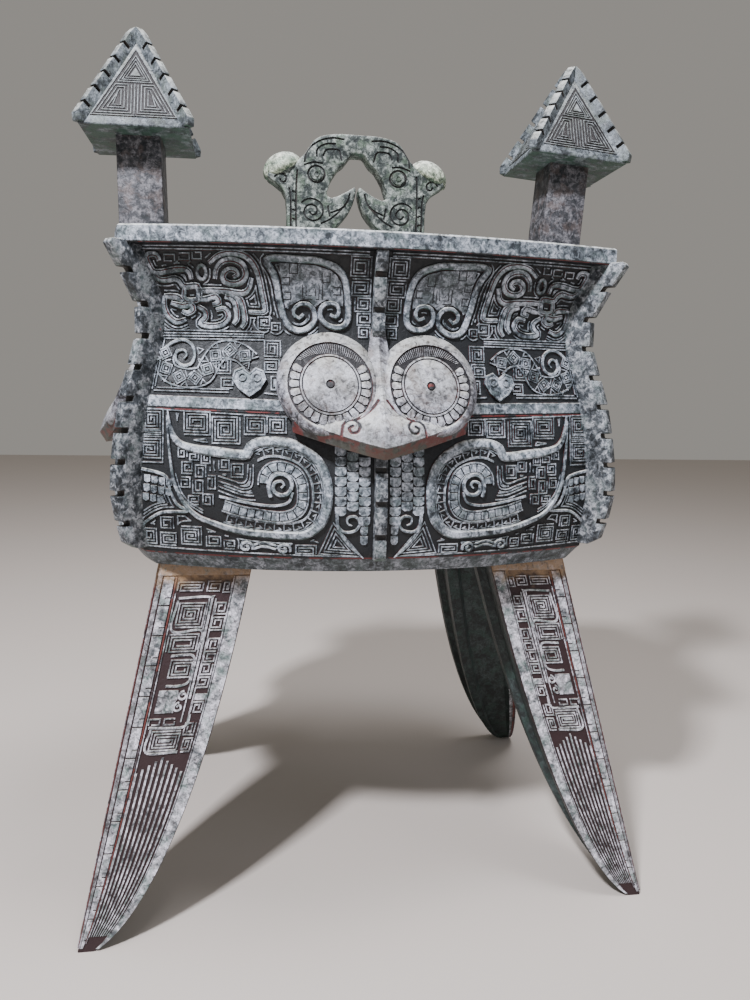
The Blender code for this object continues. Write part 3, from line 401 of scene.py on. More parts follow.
def ridge(store, place, path, width=LINE_WIDTH, height=LINE_HEIGHT, closed=False, crest=None, base=0.0,
          taper=(1, 1), rounded=False, groove=0.0):
    """A raised line along a path of (across, up) millimetres, closed all round."""
    if crest is None:
        crest = THIN_CREST if np.ndim(width) == 0 and width < 1.3 else 1.0
    path = np.asarray(path, float)
    path = dense(np.vstack((path, path[:1])))[:-1] if closed else dense(path)
    steps = np.diff(np.vstack((path, path[:1])) if closed else path, axis=0)
    lengths = np.hypot(steps[:, 0], steps[:, 1])
    keep = lengths > 1e-6
    if closed:
        path, steps, lengths = path[keep], steps[keep], lengths[keep]
    else:
        path = np.vstack((path[:1], path[1:][keep]))
        steps, lengths = steps[keep], lengths[keep]
    if len(path) < 2:
        return
    steps = steps / lengths[:, None]
    normals = np.stack((-steps[:, 1], steps[:, 0]), axis=1)
    if closed:
        before, after = np.roll(normals, 1, axis=0), normals
    else:
        before, after = np.vstack((normals[:1], normals)), np.vstack((normals, normals[-1:]))
    mitre = (before + after) / np.maximum(1 + np.sum(before * after, axis=1), 0.35)[:, None]
    share = np.linspace(0, 1, len(path))
    ease = np.minimum(1, taper[0] + (1 - taper[0]) * share * 4)
    ease = np.minimum(ease, taper[1] + (1 - taper[1]) * (1 - share) * 4)
    half = np.asarray(width, float) / 2 * ease
    if rounded:
        profile = ((1, 0, 0.55 * height, 0.75), (0.6, 0, height, 1), (-0.6, 0, height, 1),
                   (-1, 0, 0.55 * height, 0.75))
    elif groove:
        sunk = height - groove
        profile = ((0.95, 0, 0.75 * height, 0.9), (0.75, 0, height, 1), (-0.22, 0, height, 1),
                   (-0.32, 0, sunk, 0.25), (-0.50, 0, sunk, 0.25), (-0.60, 0, height, 1),
                   (-0.80, 0, height, 1), (-0.95, 0, 0.75 * height, 0.9))
    else:
        profile = ((0.8, 0, height, 1), (-0.8, 0, height, 1))
    profile = ((1, FOOT, -SUNK, 0), *profile, (-1, -FOOT, -SUNK, 0))
    sides = len(profile)
    rows = []
    for reach, slope, out, _ in profile:
        offset = path + mitre * np.reshape(half * reach + slope, (-1, 1))
        rows.append(place(offset[:, 0], offset[:, 1], np.full(len(path), out + base)))
    points = np.stack(rows, axis=1).reshape(-1, 3)
    start = store["count"]
    faces = ring_faces(len(path), sides, start, True, not closed)
    if closed:
        last = start + (len(path) - 1) * sides
        faces += [(last + j, last + (j + 1) % sides, start + (j + 1) % sides, start + j)
                  for j in range(sides)]
    if place.mirrored:
        faces = [tuple(reversed(face)) for face in faces]
    store["points"].append(points)
    store["faces"] += faces
    store["crest"].append(np.tile([entry[3] * crest for entry in profile], len(path)))
    store["count"] += len(points)


def relief_piece(name, store, finish, smooth_angle=None):
    """Turns a store into a piece that rides on the body."""
    piece = finish_mesh(name, np.concatenate(store["points"]), store["faces"], finish,
                        np.concatenate(store["crest"]), smooth_angle)
    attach(piece, "root")
    return piece


def square_spiral(centre, size, pitch=LINE_PITCH, quarter=0, mirror=False):
    """A thunder square: a line that winds in with square corners."""
    half_x, half_z = size[0] / 2 - pitch / 4, size[1] / 2 - pitch / 4
    if quarter % 2:
        half_x, half_z = half_z, half_x
    left, right, low, high = -half_x, half_x, -half_z, half_z
    points = [(left, low)]
    while right - left > pitch * 0.4 and high - low > pitch * 0.4:
        points += [(left, high), (right, high), (right, low)]
        left, high, right = left + pitch, high - pitch, right - pitch
        if left > right or low > high:
            break
        points += [(left, low)]
        low += pitch
        points[-1] = (left, low - pitch)
    turned = []
    for x, z in points:
        if mirror:
            x = -x
        for _ in range(quarter % 4):
            x, z = -z, x
        turned.append((centre[0] + x, centre[1] + z))
    return turned


def round_spiral(centre, outer, inner, turns, start_degrees, steps_per_turn=14, squash=1.0):
    """A line that winds in round a centre; negative turns wind clockwise."""
    count = max(3, int(abs(turns) * steps_per_turn))
    share = np.linspace(0, 1, count + 1)
    angle = math.radians(start_degrees) + 2 * math.pi * turns * share
    radius = outer + (inner - outer) * share
    return np.stack((centre[0] + radius * np.cos(angle), centre[1] + squash * radius * np.sin(angle)), axis=1)


def smooth_path(path, step=2.0, per=None):
    """A path with rounded corners: a point every `step` millimetres, or `per` points a stretch."""
    path = np.asarray(path, float)
    padded = np.vstack((2 * path[0] - path[1], path, 2 * path[-1] - path[-2]))
    made = []
    for a, b, c, d in zip(padded, padded[1:], padded[2:], padded[3:]):
        count = per or max(1, int(round(np.hypot(*(c - b)) / step)))
        t = (np.arange(count) / count)[:, None]
        made.append(0.5 * (2 * b + (c - a) * t + (2 * a - 5 * b + 4 * c - d) * t**2
                           + (3 * b - a - 3 * c + d) * t**3))
    made.append(path[-1:])
    return np.concatenate(made)


def normals_of(path):
    """Unit vectors square to a path, at each of its points."""
    steps = np.gradient(path, axis=0)
    normals = np.stack((-steps[:, 1], steps[:, 0]), axis=1)
    return normals / np.maximum(np.hypot(normals[:, 0], normals[:, 1]), 1e-9)[:, None]


def run_of(path):
    """How far along a path each of its points lies."""
    return np.concatenate(([0], np.cumsum(np.hypot(*np.diff(path, axis=0).T))))


def beside(path, offset):
    """A smooth line beside a path."""
    path = smooth_path(path, 1.6)
    return path + normals_of(path) * offset


def inside(outline, points):
    """True for each point that lies inside a closed outline."""
    x, z = points[:, 0], points[:, 1]
    found = np.zeros(len(points), bool)
    for (x0, z0), (x1, z1) in zip(outline, (*outline[1:], outline[0])):
        if z0 != z1:
            crosses = ((z0 > z) != (z1 > z)) & (x < (x1 - x0) * (z - z0) / (z1 - z0) + x0)
            found ^= crosses
    return found


def distances_between(points, others):
    """A table of the distances from each point to each of the others."""
    return np.hypot(points[:, None, 0] - others[None, :, 0], points[:, None, 1] - others[None, :, 1])


def echo_lines(bands, region, distances):
    """Thin lines that follow the bands at even distances, kept inside a region."""
    smoothed = [(smooth_path(path, 1.2), half) for path, half in bands]
    others = np.concatenate([path for path, _ in smoothed])
    halves = np.concatenate([np.full(len(path), half) for path, half in smoothed])
    lines = []
    for distance in distances:
        for path, half in smoothed:
            normals = normals_of(path)
            for side in (-1, 1):
                line = path + normals * side * (half + distance)
                gap = distances_between(line, others) - halves
                good = (gap.min(axis=1) > distance - 0.35) & inside(region, line)
                run = []
                for point, fine in zip(line, good):
                    if fine and (not run or np.hypot(*(point - run[-1])) < 4.0):
                        if not run or np.hypot(*(point - run[-1])) > 0.9:
                            run.append(point)
                    elif run:
                        if len(run) > 2:
                            lines.append(np.array(run))
                        run = []
                if len(run) > 2:
                    lines.append(np.array(run))
    return lines


# Drawing of one half of a wall, in millimetres across from its middle and up from the feet
HORN = ((52.5, 443), (55.5, 440), (58.5, 441.5), (59.5, 445.5), (55.5, 449.5), (49, 449.5), (45, 445),
    (44.5, 439), (48.5, 434), (54.5, 431.5), (61, 433), (65, 438), (67.5, 445.5), (69.5, 453), (71, 461.5),
    (74, 470), (78.5, 477.5), (69.5, 479), (56, 478.5), (44, 478), (34.5, 475.5), (28, 472), (24, 465.5),
    (22, 456.5), (21, 447), (21.5, 439), (25, 435), (32, 434.5), (38.5, 438), (41, 443.5), (39, 449),
    (34, 451), (29, 449.5), (27.5, 445), (30, 441.5), (34, 443))
HORN_FIELD = ((70, 476), (45, 475), (34, 472), (27, 465), (25, 456), (25, 449), (28, 452.5), (35, 454),
    (41.5, 450.5), (44, 448), (49, 452.5), (56, 452.5), (61, 450), (65, 447), (66.5, 454), (68, 464))
HORN_TEETH = ((60, 472.5, 5.5), (37.5, 467.5, 5.5))
HORN_BARS = ((65, 464.5, 5.0), (64, 455, 5.0), (29.5, 459, 5.0))
DRAGON = (((151, 476), (152.5, 479.5), (157.5, 480), (159.5, 478), (158, 473.5), (155.5, 469.5), (150, 469),
    (142, 470.5), (135, 471), (131, 469.5), (129.5, 464.5)), ((156, 468), (152, 464.5), (147, 464),
    (141, 465), (137.5, 463.5), (134.5, 460), (125.5, 460), (125.5, 451.5), (134.5, 451.5), (134.5, 460)),
    ((101, 466), (98, 468), (99.5, 470.5), (104, 471), (107.5, 468), (107, 464), (101.5, 462),
    (95.5, 463.5), (92.5, 468), (94.5, 474), (101, 477), (108, 476), (112.5, 471), (113.5, 465)),
    ((117.5, 475), (110.5, 480), (101.5, 481.5), (92, 479.5), (86, 473.5), (83, 465.5), (81, 456.5),
    (79, 447), (80, 443.5), (90.5, 443.5)), ((125.5, 457.5), (115.5, 457.5), (104.5, 457), (95, 456),
    (90.5, 459), (88.5, 466)), ((149, 453.5), (140, 453), (136, 450)), ((148.5, 453.5), (149, 446),
    (146, 439.5), (140.5, 436), (134, 438)), ((144.5, 449), (136.5, 447), (130.5, 448), (129, 444.5),
    (133, 442), (137, 443.5)), ((125.5, 451.5), (119.5, 452), (113, 453.5), (111, 449.5), (115.5, 448)),
    ((107, 453.5), (101.5, 452), (99, 447), (98.5, 439), (101, 435)), ((103, 455), (96.5, 452), (94, 445.5),
    (93, 437), (95.5, 432.5)), ((126, 447), (121, 444), (120, 439.5), (123.5, 435), (115.5, 433.5),
    (108, 435.5), (104.5, 440.5), (107.5, 445.5), (113, 444.5)))
DRAGON_DROP = ((122.5, 469), 3.0, 4.6)
UPPER_SQUARES = ((144, 478, 8, 5), (134, 479, 8, 5), (125.5, 479.5, 7, 5), (80, 436.5, 9, 9),
    (71.5, 434, 7, 6))
MIDDLE_COLUMN = ((13.5, 475.5, 15, 13.5), (12.5, 462, 14, 12), (11, 450.5, 12, 10), (10, 440.5, 10, 9),
    (9.5, 431.5, 9, 8))
SNAKE_HEAD = ((135.5, 410.5), (133.5, 413.5), (136, 416.5), (140.5, 415), (141, 409.5), (136.5, 405.5),
    (130.5, 407), (128, 413), (130, 420), (136, 423.5), (143, 422), (149, 417.5))
SNAKE = ((146.5, 419.5), (149.5, 410.5), (146.5, 401.5), (138, 397.5), (129, 397), (121.5, 399.5),
    (117, 407.5), (111, 415.5), (103.5, 417), (96, 415), (89, 409.5))
LOZENGE_PITCH = 10.2
HEART = ((100, 402.5), (101.5, 397), (97, 390.5), (90, 385.5), (83, 390.5), (79, 397), (80.5, 402.5),
    (85.5, 404.5), (90, 400.5), (95, 404.5))
WING = ((146.5, 374.5), (145, 364), (142.5, 356.5), (137, 351), (126, 348), (112.5, 346.5), (99, 345),
    (92, 345.5), (89, 351), (82, 354), (72.5, 354.5), (62.5, 353.5), (53.5, 349.5), (45, 343.5),
    (39.5, 335.5), (36.5, 324.5), (36.5, 313.5), (38.5, 303.5), (43.5, 295.5), (52.5, 290), (64, 289.5),
    (77.5, 290), (91, 291), (104.5, 293.5), (117, 297.5), (125.5, 301), (132.5, 307), (138, 315),
    (142, 325), (144, 336.5), (145.5, 349), (146.5, 361), (147, 371))
CELL_BAND = ((108, 309.5), (96.5, 306), (87, 304.5), (77.5, 303), (67.5, 302.5), (59, 305), (54.5, 310.5),
    (53.5, 318.5), (54.5, 327), (58.5, 333.5), (66.5, 337), (74.5, 336.5), (79.5, 331.5), (80.5, 324.5))
CELL_WIDTH = 6.4
CORE = ((68.5, 323), (66.5, 325), (68.5, 327.5), (73, 326), (73.5, 321), (69.5, 318), (64, 319),
    (61, 324.5), (63, 330), (69, 332.5), (74.5, 330), (77, 323.5), (75.5, 316.5))
CORE_TAIL = ((111, 316), (99, 313.5), (84, 311), (72, 310.5), (63.5, 313), (60.5, 320))
MEANDER = ((86, 344), (79, 347), (70.5, 347.5), (61.5, 345.5), (53, 341), (47.5, 334.5), (44.5, 327),
    (43.5, 318), (44.5, 308.5), (49, 300), (57, 296), (67, 295), (78, 295.5), (89, 297), (98, 298.5),
    (107, 301))
WING_SQUARES = ((136, 345.5, 7, 7), (128, 343.5, 7, 7), (120, 341.5, 7, 7), (133, 335, 8, 9),
    (123.5, 333, 8, 9), (134, 325, 7, 8), (125.5, 322, 8, 10), (128.5, 312.5, 8, 7), (118.5, 313.5, 8, 8),
    (116, 325.5, 6, 10), (107.5, 337.5, 8, 8), (98.5, 334, 9, 10))
WING_HOOKS = (((111.5, 330), (103, 327.5), (96, 325.5), (92, 328), (91, 338.5)), ((111.5, 326.5),
    (103, 324), (95, 321.5), (89, 323), (87.5, 330), (87.5, 338.5)), ((111.5, 323), (103, 320), (95, 317.5),
    (87, 317)), ((111.5, 320), (103, 317), (95, 314.5), (86, 314)))
UPPER_ROW = ((126, 366, 19, 17), (106, 361.5, 20, 19), (86.5, 365.5, 15, 14), (71.5, 366, 14, 12))
OUTER_COLUMN = ((157, 368, 15.5, 15), (158.5, 347.5, 15, 14))
FEATHER = ((165, 333), (154, 331), (147, 327.5), (144.5, 318), (140, 309), (133, 304.5), (150, 303),
    (160, 297.5), (166, 292))
LOWER_ROW = ((161, 285, 12, 12), (147, 283.5, 12, 10), (147.5, 295.5, 10, 9), (130.5, 287, 15, 14),
    (115, 283.5, 11, 8), (104, 281.5, 8, 7), (51, 279.5, 15, 7))
SMALL_SNAKES = ((92.5, 280.5), (66.5, 279.5))
SCALE_COLUMNS = ((27.6, 348.5, 297), (19.2, 345.0, 297), (10.8, 341.5, 275))
SCALE_PITCH = 6.9
SCROLL = ((19.5, 297), (22.5, 298.5), (22.5, 302.5), (17.5, 303.5), (14, 299), (17, 293.5), (25, 292.5),
    (29.5, 298), (30, 304))
SCROLL_LEAF = ((30, 305), (28.5, 294), (22.5, 284.5), (11, 273.5))
TRIANGLE = ((42, 276.5), (32.5, 299), (12, 274.5))
# The part of the upper register that thin lines fill
UPPER_REGION = ((12, 483), (6.5, 476), (6.5, 428), (80, 428.5), (84, 430), (151, 430), (150, 446),
    (156, 468), (161.5, 481.5), (60, 482))
# Parts of the lower register where thin lines fill the ground: over, inside and under the wing
FILL_REGIONS = (((149, 373.5), (62, 370.5), (64, 357), (92, 353.5), (98, 347), (140, 352), (148, 360)),
    ((142, 352), (108, 344), (92, 342), (88, 346), (88, 318), (112, 311), (126, 305), (141, 330)),
    ((149, 334), (150, 314), (165, 312), (166, 279), (40, 277), (43, 287), (104, 291), (140, 306)))


def half_wall(face, sign, share):
    """Places drawing millimetres on one half of a wall; `sign` picks the half."""
    def place(across, up, out):
        return wall_point(face, np.asarray(across) * sign * share * MM, np.asarray(up) * MM,
                          np.asarray(out) * MM)
    place.mirrored = sign < 0
    return place


def squares(store, place, rows, start=0):
    """A thunder square for each (across, up, width, height)."""
    for i, (x, z, width, height) in enumerate(rows):
        ridge(store, place, square_spiral((x, z), (width, height), quarter=i + start, mirror=i % 2 == 1))


def point_along(path, at):
    """The point and the normal at a distance along a path."""
    run, normals = run_of(path), normals_of(path)
    return [np.array([np.interp(at, run, values[:, k]) for k in (0, 1)]) for values in (path, normals)]


def ladder(band_path, width, gap, length):
    """Cells along a curved band: the outline of each, as a closed path."""
    path = smooth_path(band_path, 0.8)
    cells = []
    for i in range(int(run_of(path)[-1] / length)):
        corners = []
        for t, side in ((0, 1), (0.5, 1), (1, 1), (1, -1), (0.5, -1), (0, -1)):
            middle, normal = point_along(path, i * length + gap / 2 + (length - gap) * t)
            corners.append(middle + normal * side * width / 2)
        cells.append(corners)
    return cells


def pad(store, place, outline, height, slope=0.35, crest=1.0, base=0.0):
    """A small flat-topped block with sloping sides, closed all round."""
    outline = np.asarray(outline, float)
    area = np.sum(outline[:, 0] * np.roll(outline[:, 1], -1) - np.roll(outline[:, 0], -1) * outline[:, 1])
    if area < 0:
        outline = outline[::-1]
    centre = outline.mean(axis=0)
    away = outline - centre
    reach = np.maximum(np.hypot(away[:, 0], away[:, 1]), 1e-6)[:, None]
    foot = outline + away / reach * slope
    low = place(foot[:, 0], foot[:, 1], np.full(len(foot), base - SUNK))
    high = place(outline[:, 0], outline[:, 1], np.full(len(foot), base + height))
    crown = place(centre[:1], centre[1:], np.array([base + height * 1.15]))
    start, count = store["count"], len(outline)
    faces = [(start + i, start + (i + 1) % count, start + count + (i + 1) % count, start + count + i)
             for i in range(count)]
    faces += [(start + count + i, start + count + (i + 1) % count, start + 2 * count) for i in range(count)]
    faces.append(tuple(start + i for i in reversed(range(count))))
    if place.mirrored:
        faces = [tuple(reversed(face)) for face in faces]
    store["points"] += [low, high, crown]
    store["faces"] += faces
    store["crest"].append(np.array([0.0] * count + [crest] * (count + 1)))
    store["count"] += 2 * count + 1


def draw_upper(store, place):
    """The register under the rim: horn, dragon and thunder lines."""
    ridge(store, place, smooth_path(HORN, 2.4), 4.6, 2.6, rounded=True, taper=(0.5, 0.5))
    field = np.array(HORN_FIELD)
    pad(store, place, field, 1.2, crest=GREY_CREST)
    dark_lines = [square_spiral((46.5, 459.5), (15, 14), 2.4)]
    for x, z, size in HORN_TEETH:
        left, right = x - size / 2, x + size / 2
        dark_lines.append([(left, z + 3), (left, z - 3), (right, z - 3), (right, z + 3)])
    for x, z, size in HORN_BARS:
        left, right = x - size / 2, x + size / 2
        dark_lines.append([(right, z + 2.4), (left, z + 2.4), (left, z - 2.4), (right, z - 2.4)])
    for line in dark_lines:
        ridge(store, place, line, 0.7, 0.15, base=1.25, crest=0.0)
    bands = [(HORN, 2.6)]
    for line in DRAGON:
        path = smooth_path(line, 1.8)
        ridge(store, place, path, 4.4, BAND_HEIGHT, taper=(0.7, 0.7), groove=0.9)
        bands.append((line, 2.3))
    centre, wide, tall = DRAGON_DROP
    drop = [(centre[0] + wide * math.cos(a), centre[1] + tall * math.sin(a))
            for a in np.arange(0, 2 * math.pi, 0.5)]
    ridge(store, place, drop, 2.4, BAND_HEIGHT, closed=True, rounded=True)
    bands.append((drop + drop[:1], 1.4))
    squares(store, place, UPPER_SQUARES)
    squares(store, place, MIDDLE_COLUMN)
    taken = [(np.array([(x - w / 2, z), (x, z - h / 2), (x + w / 2, z), (x, z + h / 2), (x - w / 2, z)]), 1.0)
             for x, z, w, h in UPPER_SQUARES]
    for line in echo_lines(bands + taken, UPPER_REGION, (1.5, 3.4, 5.3, 7.2, 9.1)):
        if line[:, 0].min() > 20.5:
            ridge(store, place, line)
    for drop_by in (0, 2.0):
        ridge(store, place, [(154 - drop_by / 2, 430.5 - drop_by), (80, 430 - drop_by)])
    for z in (483.0, 485.0):
        ridge(store, place, [(162, z + 0.6), (8, z)])


def draw_middle(store, place):
    """The register at the waist: a snake with lozenge scales, and a heart-shaped head."""
    band = smooth_path(SNAKE, 1.8)
    ridge(store, place, smooth_path(SNAKE_HEAD, 1.4), 2.4, 1.8, rounded=True, taper=(0.5, 1))
    ridge(store, place, band, 12.6, 0.9, crest=0.0)
    for side in (-1, 1):
        ridge(store, place, band + normals_of(band) * side * 6.5, 1.2, 1.6)
    length = run_of(band)[-1]
    count = int(length / LOZENGE_PITCH)
    for i in range(count):
        middle, normal = point_along(band, (i + 0.5) * length / count)
        along = np.array((normal[1], -normal[0]))
        for size in (4.9, 3.0, 1.0):
            lozenge = [middle + way * size for way in (normal, along, -normal, -along)]
            if size > 1.0:
                ridge(store, place, lozenge, 0.9, 0.8, closed=True, base=0.9)
            else:
                pad(store, place, lozenge, 0.8, base=0.9)
        for side in (-1, 1):
            edge = middle + along * 5.3
            tip, left, right = (edge + normal * side * 1.7, edge - along * 2.4 + normal * side * 5.6,
                                edge + along * 2.4 + normal * side * 5.6)
            ridge(store, place, [left, tip, right], 0.8, 0.7, base=0.9)
    pad(store, place, HEART, 2.6, crest=0.95)
    ridge(store, place, HEART, 1.5, 3.4, closed=True, rounded=True)
    for x in (95.0, 85.0):
        ridge(store, place, round_spiral((x, 398.5), 2.6, 2.6, 1, 0, 10), 1.2, 4.0, closed=True, rounded=True)
    ridge(store, place, [(90, 396), (90, 391)], 1.0, 3.4)
    squares(store, place, ((74, 418.5, 12, 12), (74.5, 406.5, 11, 10), (108, 406, 11, 12), (105.5, 394, 9, 8),
                           (72.5, 394.5, 6, 10)))
    for inset in (0, 2.0):
        ridge(store, place, [(150.5 - inset / 3, 426.5 - inset), (80, 426.5 - inset)])
        ridge(store, place, [(156.5 - inset, 388 + inset), (104, 387.5 + inset)])
        ridge(store, place, [(157.5 - inset, 389 + inset), (151.5 - inset, 425.5 - inset)])
    ridge(store, place, [(80, 387.5), (70, 386.5)])
    for x, z in ((126, 402), (123, 408), (124, 416), (143, 393), (150, 397)):
        chip = [(x + 2.5, z + 2.5), (x - 2, z + 1), (x + 1, z - 2), (x + 2.5, z + 2.5)]
        ridge(store, place, chip, 0.8, 0.8)


def boxed(row):
    """The outline of a thunder square, as a path."""
    x, z, width, height = row
    return ((x - width / 2, z - height / 2), (x + width / 2, z - height / 2), (x + width / 2, z + height / 2),
            (x - width / 2, z + height / 2), (x - width / 2, z - height / 2))


def draw_lower(store, place):
    """The register at the belly: the wing with its meander and cells, and what lies round it."""
    wing = smooth_path(WING, 2.4)
    reach = run_of(wing)
    width = np.interp(reach / reach[-1], (0, 0.06, 0.14, 0.5, 0.66, 0.8, 0.9, 1),
                      (1.2, 4.5, 6.8, 6.6, 5.0, 3.4, 2.2, 1.2))
    ridge(store, place, wing, width, 2.6, rounded=True)
    for side in (1, -1):
        ridge(store, place, beside(MEANDER, side * 3.4), 0.9, 1.0)
    for cell in ladder(MEANDER, 5.2, 0.8, 6.6):
        cell = np.array(cell)
        centre = cell.mean(axis=0)
        hook = [cell[0], cell[2], cell[3], cell[5] * 0.8 + cell[2] * 0.2, centre]
        ridge(store, place, hook, 0.9, 0.9)
    for cell in ladder(CELL_BAND, CELL_WIDTH - 1.2, 0.9, 5.6):
        pad(store, place, cell, 1.3, crest=0.95)
    for side in (-1, 1):
        ridge(store, place, beside(CELL_BAND, side * (CELL_WIDTH / 2 + 0.5)), 1.1, 1.6)
    ridge(store, place, smooth_path(CORE, 1.2), 2.8, 2.0, rounded=True, taper=(0.5, 1))
    ridge(store, place, smooth_path(CORE_TAIL, 2.0), 1.8, 1.6)
    squares(store, place, WING_SQUARES)
    for line in WING_HOOKS:
        ridge(store, place, smooth_path(line, 2.0))
    squares(store, place, UPPER_ROW, 1)
    squares(store, place, OUTER_COLUMN)
    for i in range(4):
        z = 355.8 + i * 1.45
        ridge(store, place, [(164 - i * 0.1, z), (151, z)], 0.8)
    ridge(store, place, smooth_path(FEATHER, 2.0), 2.2, 1.8, rounded=True)
    for i in range(3):
        for j in range(4):
            x, z = 161 - 5.2 * j + i * 0.6, 326.5 - i * 6.5 - j * 0.8
            if j == 3 and i == 2:
                continue
            corners = [(x - 2.1, z + 2.6), (x + 2.1, z + 2.6), (x + 2.1, z - 1.6), (x, z - 2.8),
                       (x - 2.1, z - 1.6)]
            pad(store, place, corners, 1.2, crest=0.9)
    squares(store, place, LOWER_ROW, 2)
    for x, z in SMALL_SNAKES:
        ridge(store, place, round_spiral((x, z), 5.0, 1.0, -1.3, 200, 10, 0.85), 2.0, 2.4, rounded=True)
    neck_from, neck_to = SMALL_SNAKES
    for rise in (-1.2, 1.6):
        neck = [(neck_from[0] - 5.5, neck_from[1] + rise), (80, 282.5 + rise),
                (neck_to[0] + 5.5, neck_to[1] + rise + 1)]
        ridge(store, place, smooth_path(neck, 2.0), 1.6, 1.8, rounded=True)
    for x, high, low in SCALE_COLUMNS:
        for j in range(int((high - low) / SCALE_PITCH)):
            z = high - SCALE_PITCH * j
            half = 3.9 if z > 300 else 2.6
            corners = [(x + half, z + 3.1), (x + half, z - 1.4), (x + half * 0.5, z - 3.1),
                       (x - half * 0.5, z - 3.1), (x - half, z - 1.4), (x - half, z + 3.1)]
            pad(store, place, corners, 1.0, slope=0.2, crest=0.95)
    boxes = [boxed(row) for row in WING_SQUARES + UPPER_ROW + LOWER_ROW + OUTER_COLUMN]
    taken = [(WING, 4.4), (CELL_BAND, 4.6), (CORE_TAIL, 1.6), (FEATHER, 1.8), (MEANDER, 4.0)]
    taken += [(line, 0.6) for line in boxes + list(WING_HOOKS)]
    for region in FILL_REGIONS:
        for line in echo_lines(taken, region, (1.4, 3.3, 5.2)):
            if not any(inside(box, line).any() for box in boxes):
                ridge(store, place, line)
    ridge(store, place, smooth_path(SCROLL, 1.2), 2.0, 1.8, rounded=True, taper=(0.5, 1))
    ridge(store, place, smooth_path(SCROLL_LEAF, 2.0), 2.4, 1.8, rounded=True, taper=(1, 0.3))
    centre = np.mean(TRIANGLE, axis=0)
    for shrink in (1.0, 0.74, 0.5, 0.26):
        ridge(store, place, centre + (np.array(TRIANGLE) - centre) * shrink, 0.85, closed=True)
    ridge(store, place, [(166.5, 375.5), (60, 371)], 0.8)
    ridge(store, place, [(169.5, 341), (168, 300), (164, 279)], 0.9)
    ridge(store, place, [(167.5, 341), (166.2, 300), (162.5, 279)], 0.9)
    ridge(store, place, [(166, 277.6), (14, 274.6)], 0.9)
    ridge(store, place, [(149.5, 374), (150, 338), (165, 338)], 0.9)
    for bend in (0, 2.0):
        hem = [(143 - bend, 331), (139 - bend, 318), (131, 309 + bend), (122, 303.5 + bend)]
        ridge(store, place, smooth_path(hem, 2.0))


# Each wall with the share of the drawing's width that it has room for
WALLS = ((FRONT, 1.0, "front"), (BACK, 1.0, "back"), (RIGHT, 0.64, "right"), (LEFT, 0.64, "left"))
# Thunder squares in place of an owl mask on the back wall, round the handle
BACK_SQUARES = [(x, z, 15.2, 14.6) for z in (396.5, 413, 429.5) for x in (15, 32, 49, 66)]
BACK_SQUARES += [(x, 363.5, 15.2, 13.5) for x in (15, 32, 49)]


for face, share, name in WALLS:
    upper, lower = new_relief(), new_relief()
    for sign in (-1, 1):
        place = half_wall(face, sign, share)
        draw_upper(upper, place)
        draw_middle(upper, place)
        draw_lower(lower, place)
        if face == BACK:
            squares(upper, place, BACK_SQUARES)
    relief_piece(f"upper_relief_{name}", upper, WALL_PATINA, 40)
    relief_piece(f"lower_relief_{name}", lower, WALL_PATINA, 40)

# The plain raised band between the two lower registers
BAND_Z = 380.3
BAND_WIDTH = 8.6
for face, share, name in WALLS:
    band_store = new_relief()
    for sign in (-1, 1):
        place = half_wall(face, sign, share)
        band = [(8 if face == BACK else 50, BAND_Z - 1.6), (110, BAND_Z - 0.4), (166, BAND_Z + 0.6)]
        ridge(band_store, place, smooth_path(band, 5), BAND_WIDTH, 0.8)
        red_line = [(50, BAND_Z - 6.8), (110, BAND_Z - 5.6), (166, BAND_Z - 4.6)]
        ridge(band_store, place, smooth_path(red_line, 5), 0.8, 0.6, crest=RED_CREST)
    relief_piece(f"plain_band_{name}", band_store, WALL_PATINA, 40)


# Owl masks
# The face that looks out of the front and of each narrow wall: round eyes with
# lashes above and scales below, and a brow that comes out to the beak. Bronze,
# cast with the wall and left smooth, so it is the palest and most rubbed part.
# Low on the mask, round the beak's underside, a grey-green band of malachite with painted shade
MASK_PATINA = patina("rubbed_grey_bronze_patina", pale="#A8A9B2", middle="#6C6C72", dark="#2C2B2E",
                     tint="#665752", ground="#151316", red="#7A2C26", red_share=0.10, cloud_mm=20,
                     tint_share=0.45, stain_and_shade_band=("#505248", 0.364, 0.344))
EYE_ACROSS, EYE_Z = 35.2, 394.5
EYE_STEPS = 96
RING_RADIUS = 28.5
EYE_PROUD = 12.5
EYE_TILT = 6.0
# Scales and lashes of an eye: how many, and the arc that they fill, in degrees
SCALES, SCALES_FROM, SCALES_TO = 19, 148, 392
HAIRS, HAIRS_FROM, HAIRS_TO = 34, 36, 144
# Rings of an eye from the outside in: radius, share of the full height above and below, drop, crest
EYE_RINGS = ((36.8, -0.3, -0.2, 0, 0.5), (36.3, 0.10, 0.50, 0, 1), (35.6, 0.25, 0.78, 0, 1),
    (34.2, 0.48, 0.93, 0, 1), (32.4, 0.74, 1.0, 0, 1), (30.6, 0.93, 1.02, 0, 1), (29.3, 1, 1, 0, 1),
    (28.9, 1, 1, 1.2, 0), (28.0, 1, 1, 1.3, 0), (20.9, 1, 1, 1.3, 0), (20.6, 1, 1, 0.2, 1),
    (19.6, 1, 1, 0.2, 1), (19.4, 1, 1, 1.2, 0), (18.8, 1, 1, 1.2, 0), (18.6, 1, 1, 0.1, 1),
    (12.0, 1, 1, -0.3, 1), (3.2, 1, 1, -0.5, 1), (3.0, 1, 1, 0.5, 0), (2.3, 1, 1, 0.5, 0),
    (2.1, 1, 1, -0.4, 0.26), (0.4, 1, 1, -0.6, 0.26))
BEAK_LEVELS = ((434, 0, 5.0, 4.0, 3.0), (410, 0, 8.5, 8.5, 5.0), (392, 0, 11.5, 13.5, 9.0),
    (377, -1, 26.0, 21.5, 7.5), (366, 5, 56.0, 26.5, 11.5), (353.0, 18.0, 62.0, 29.5, 13.5))
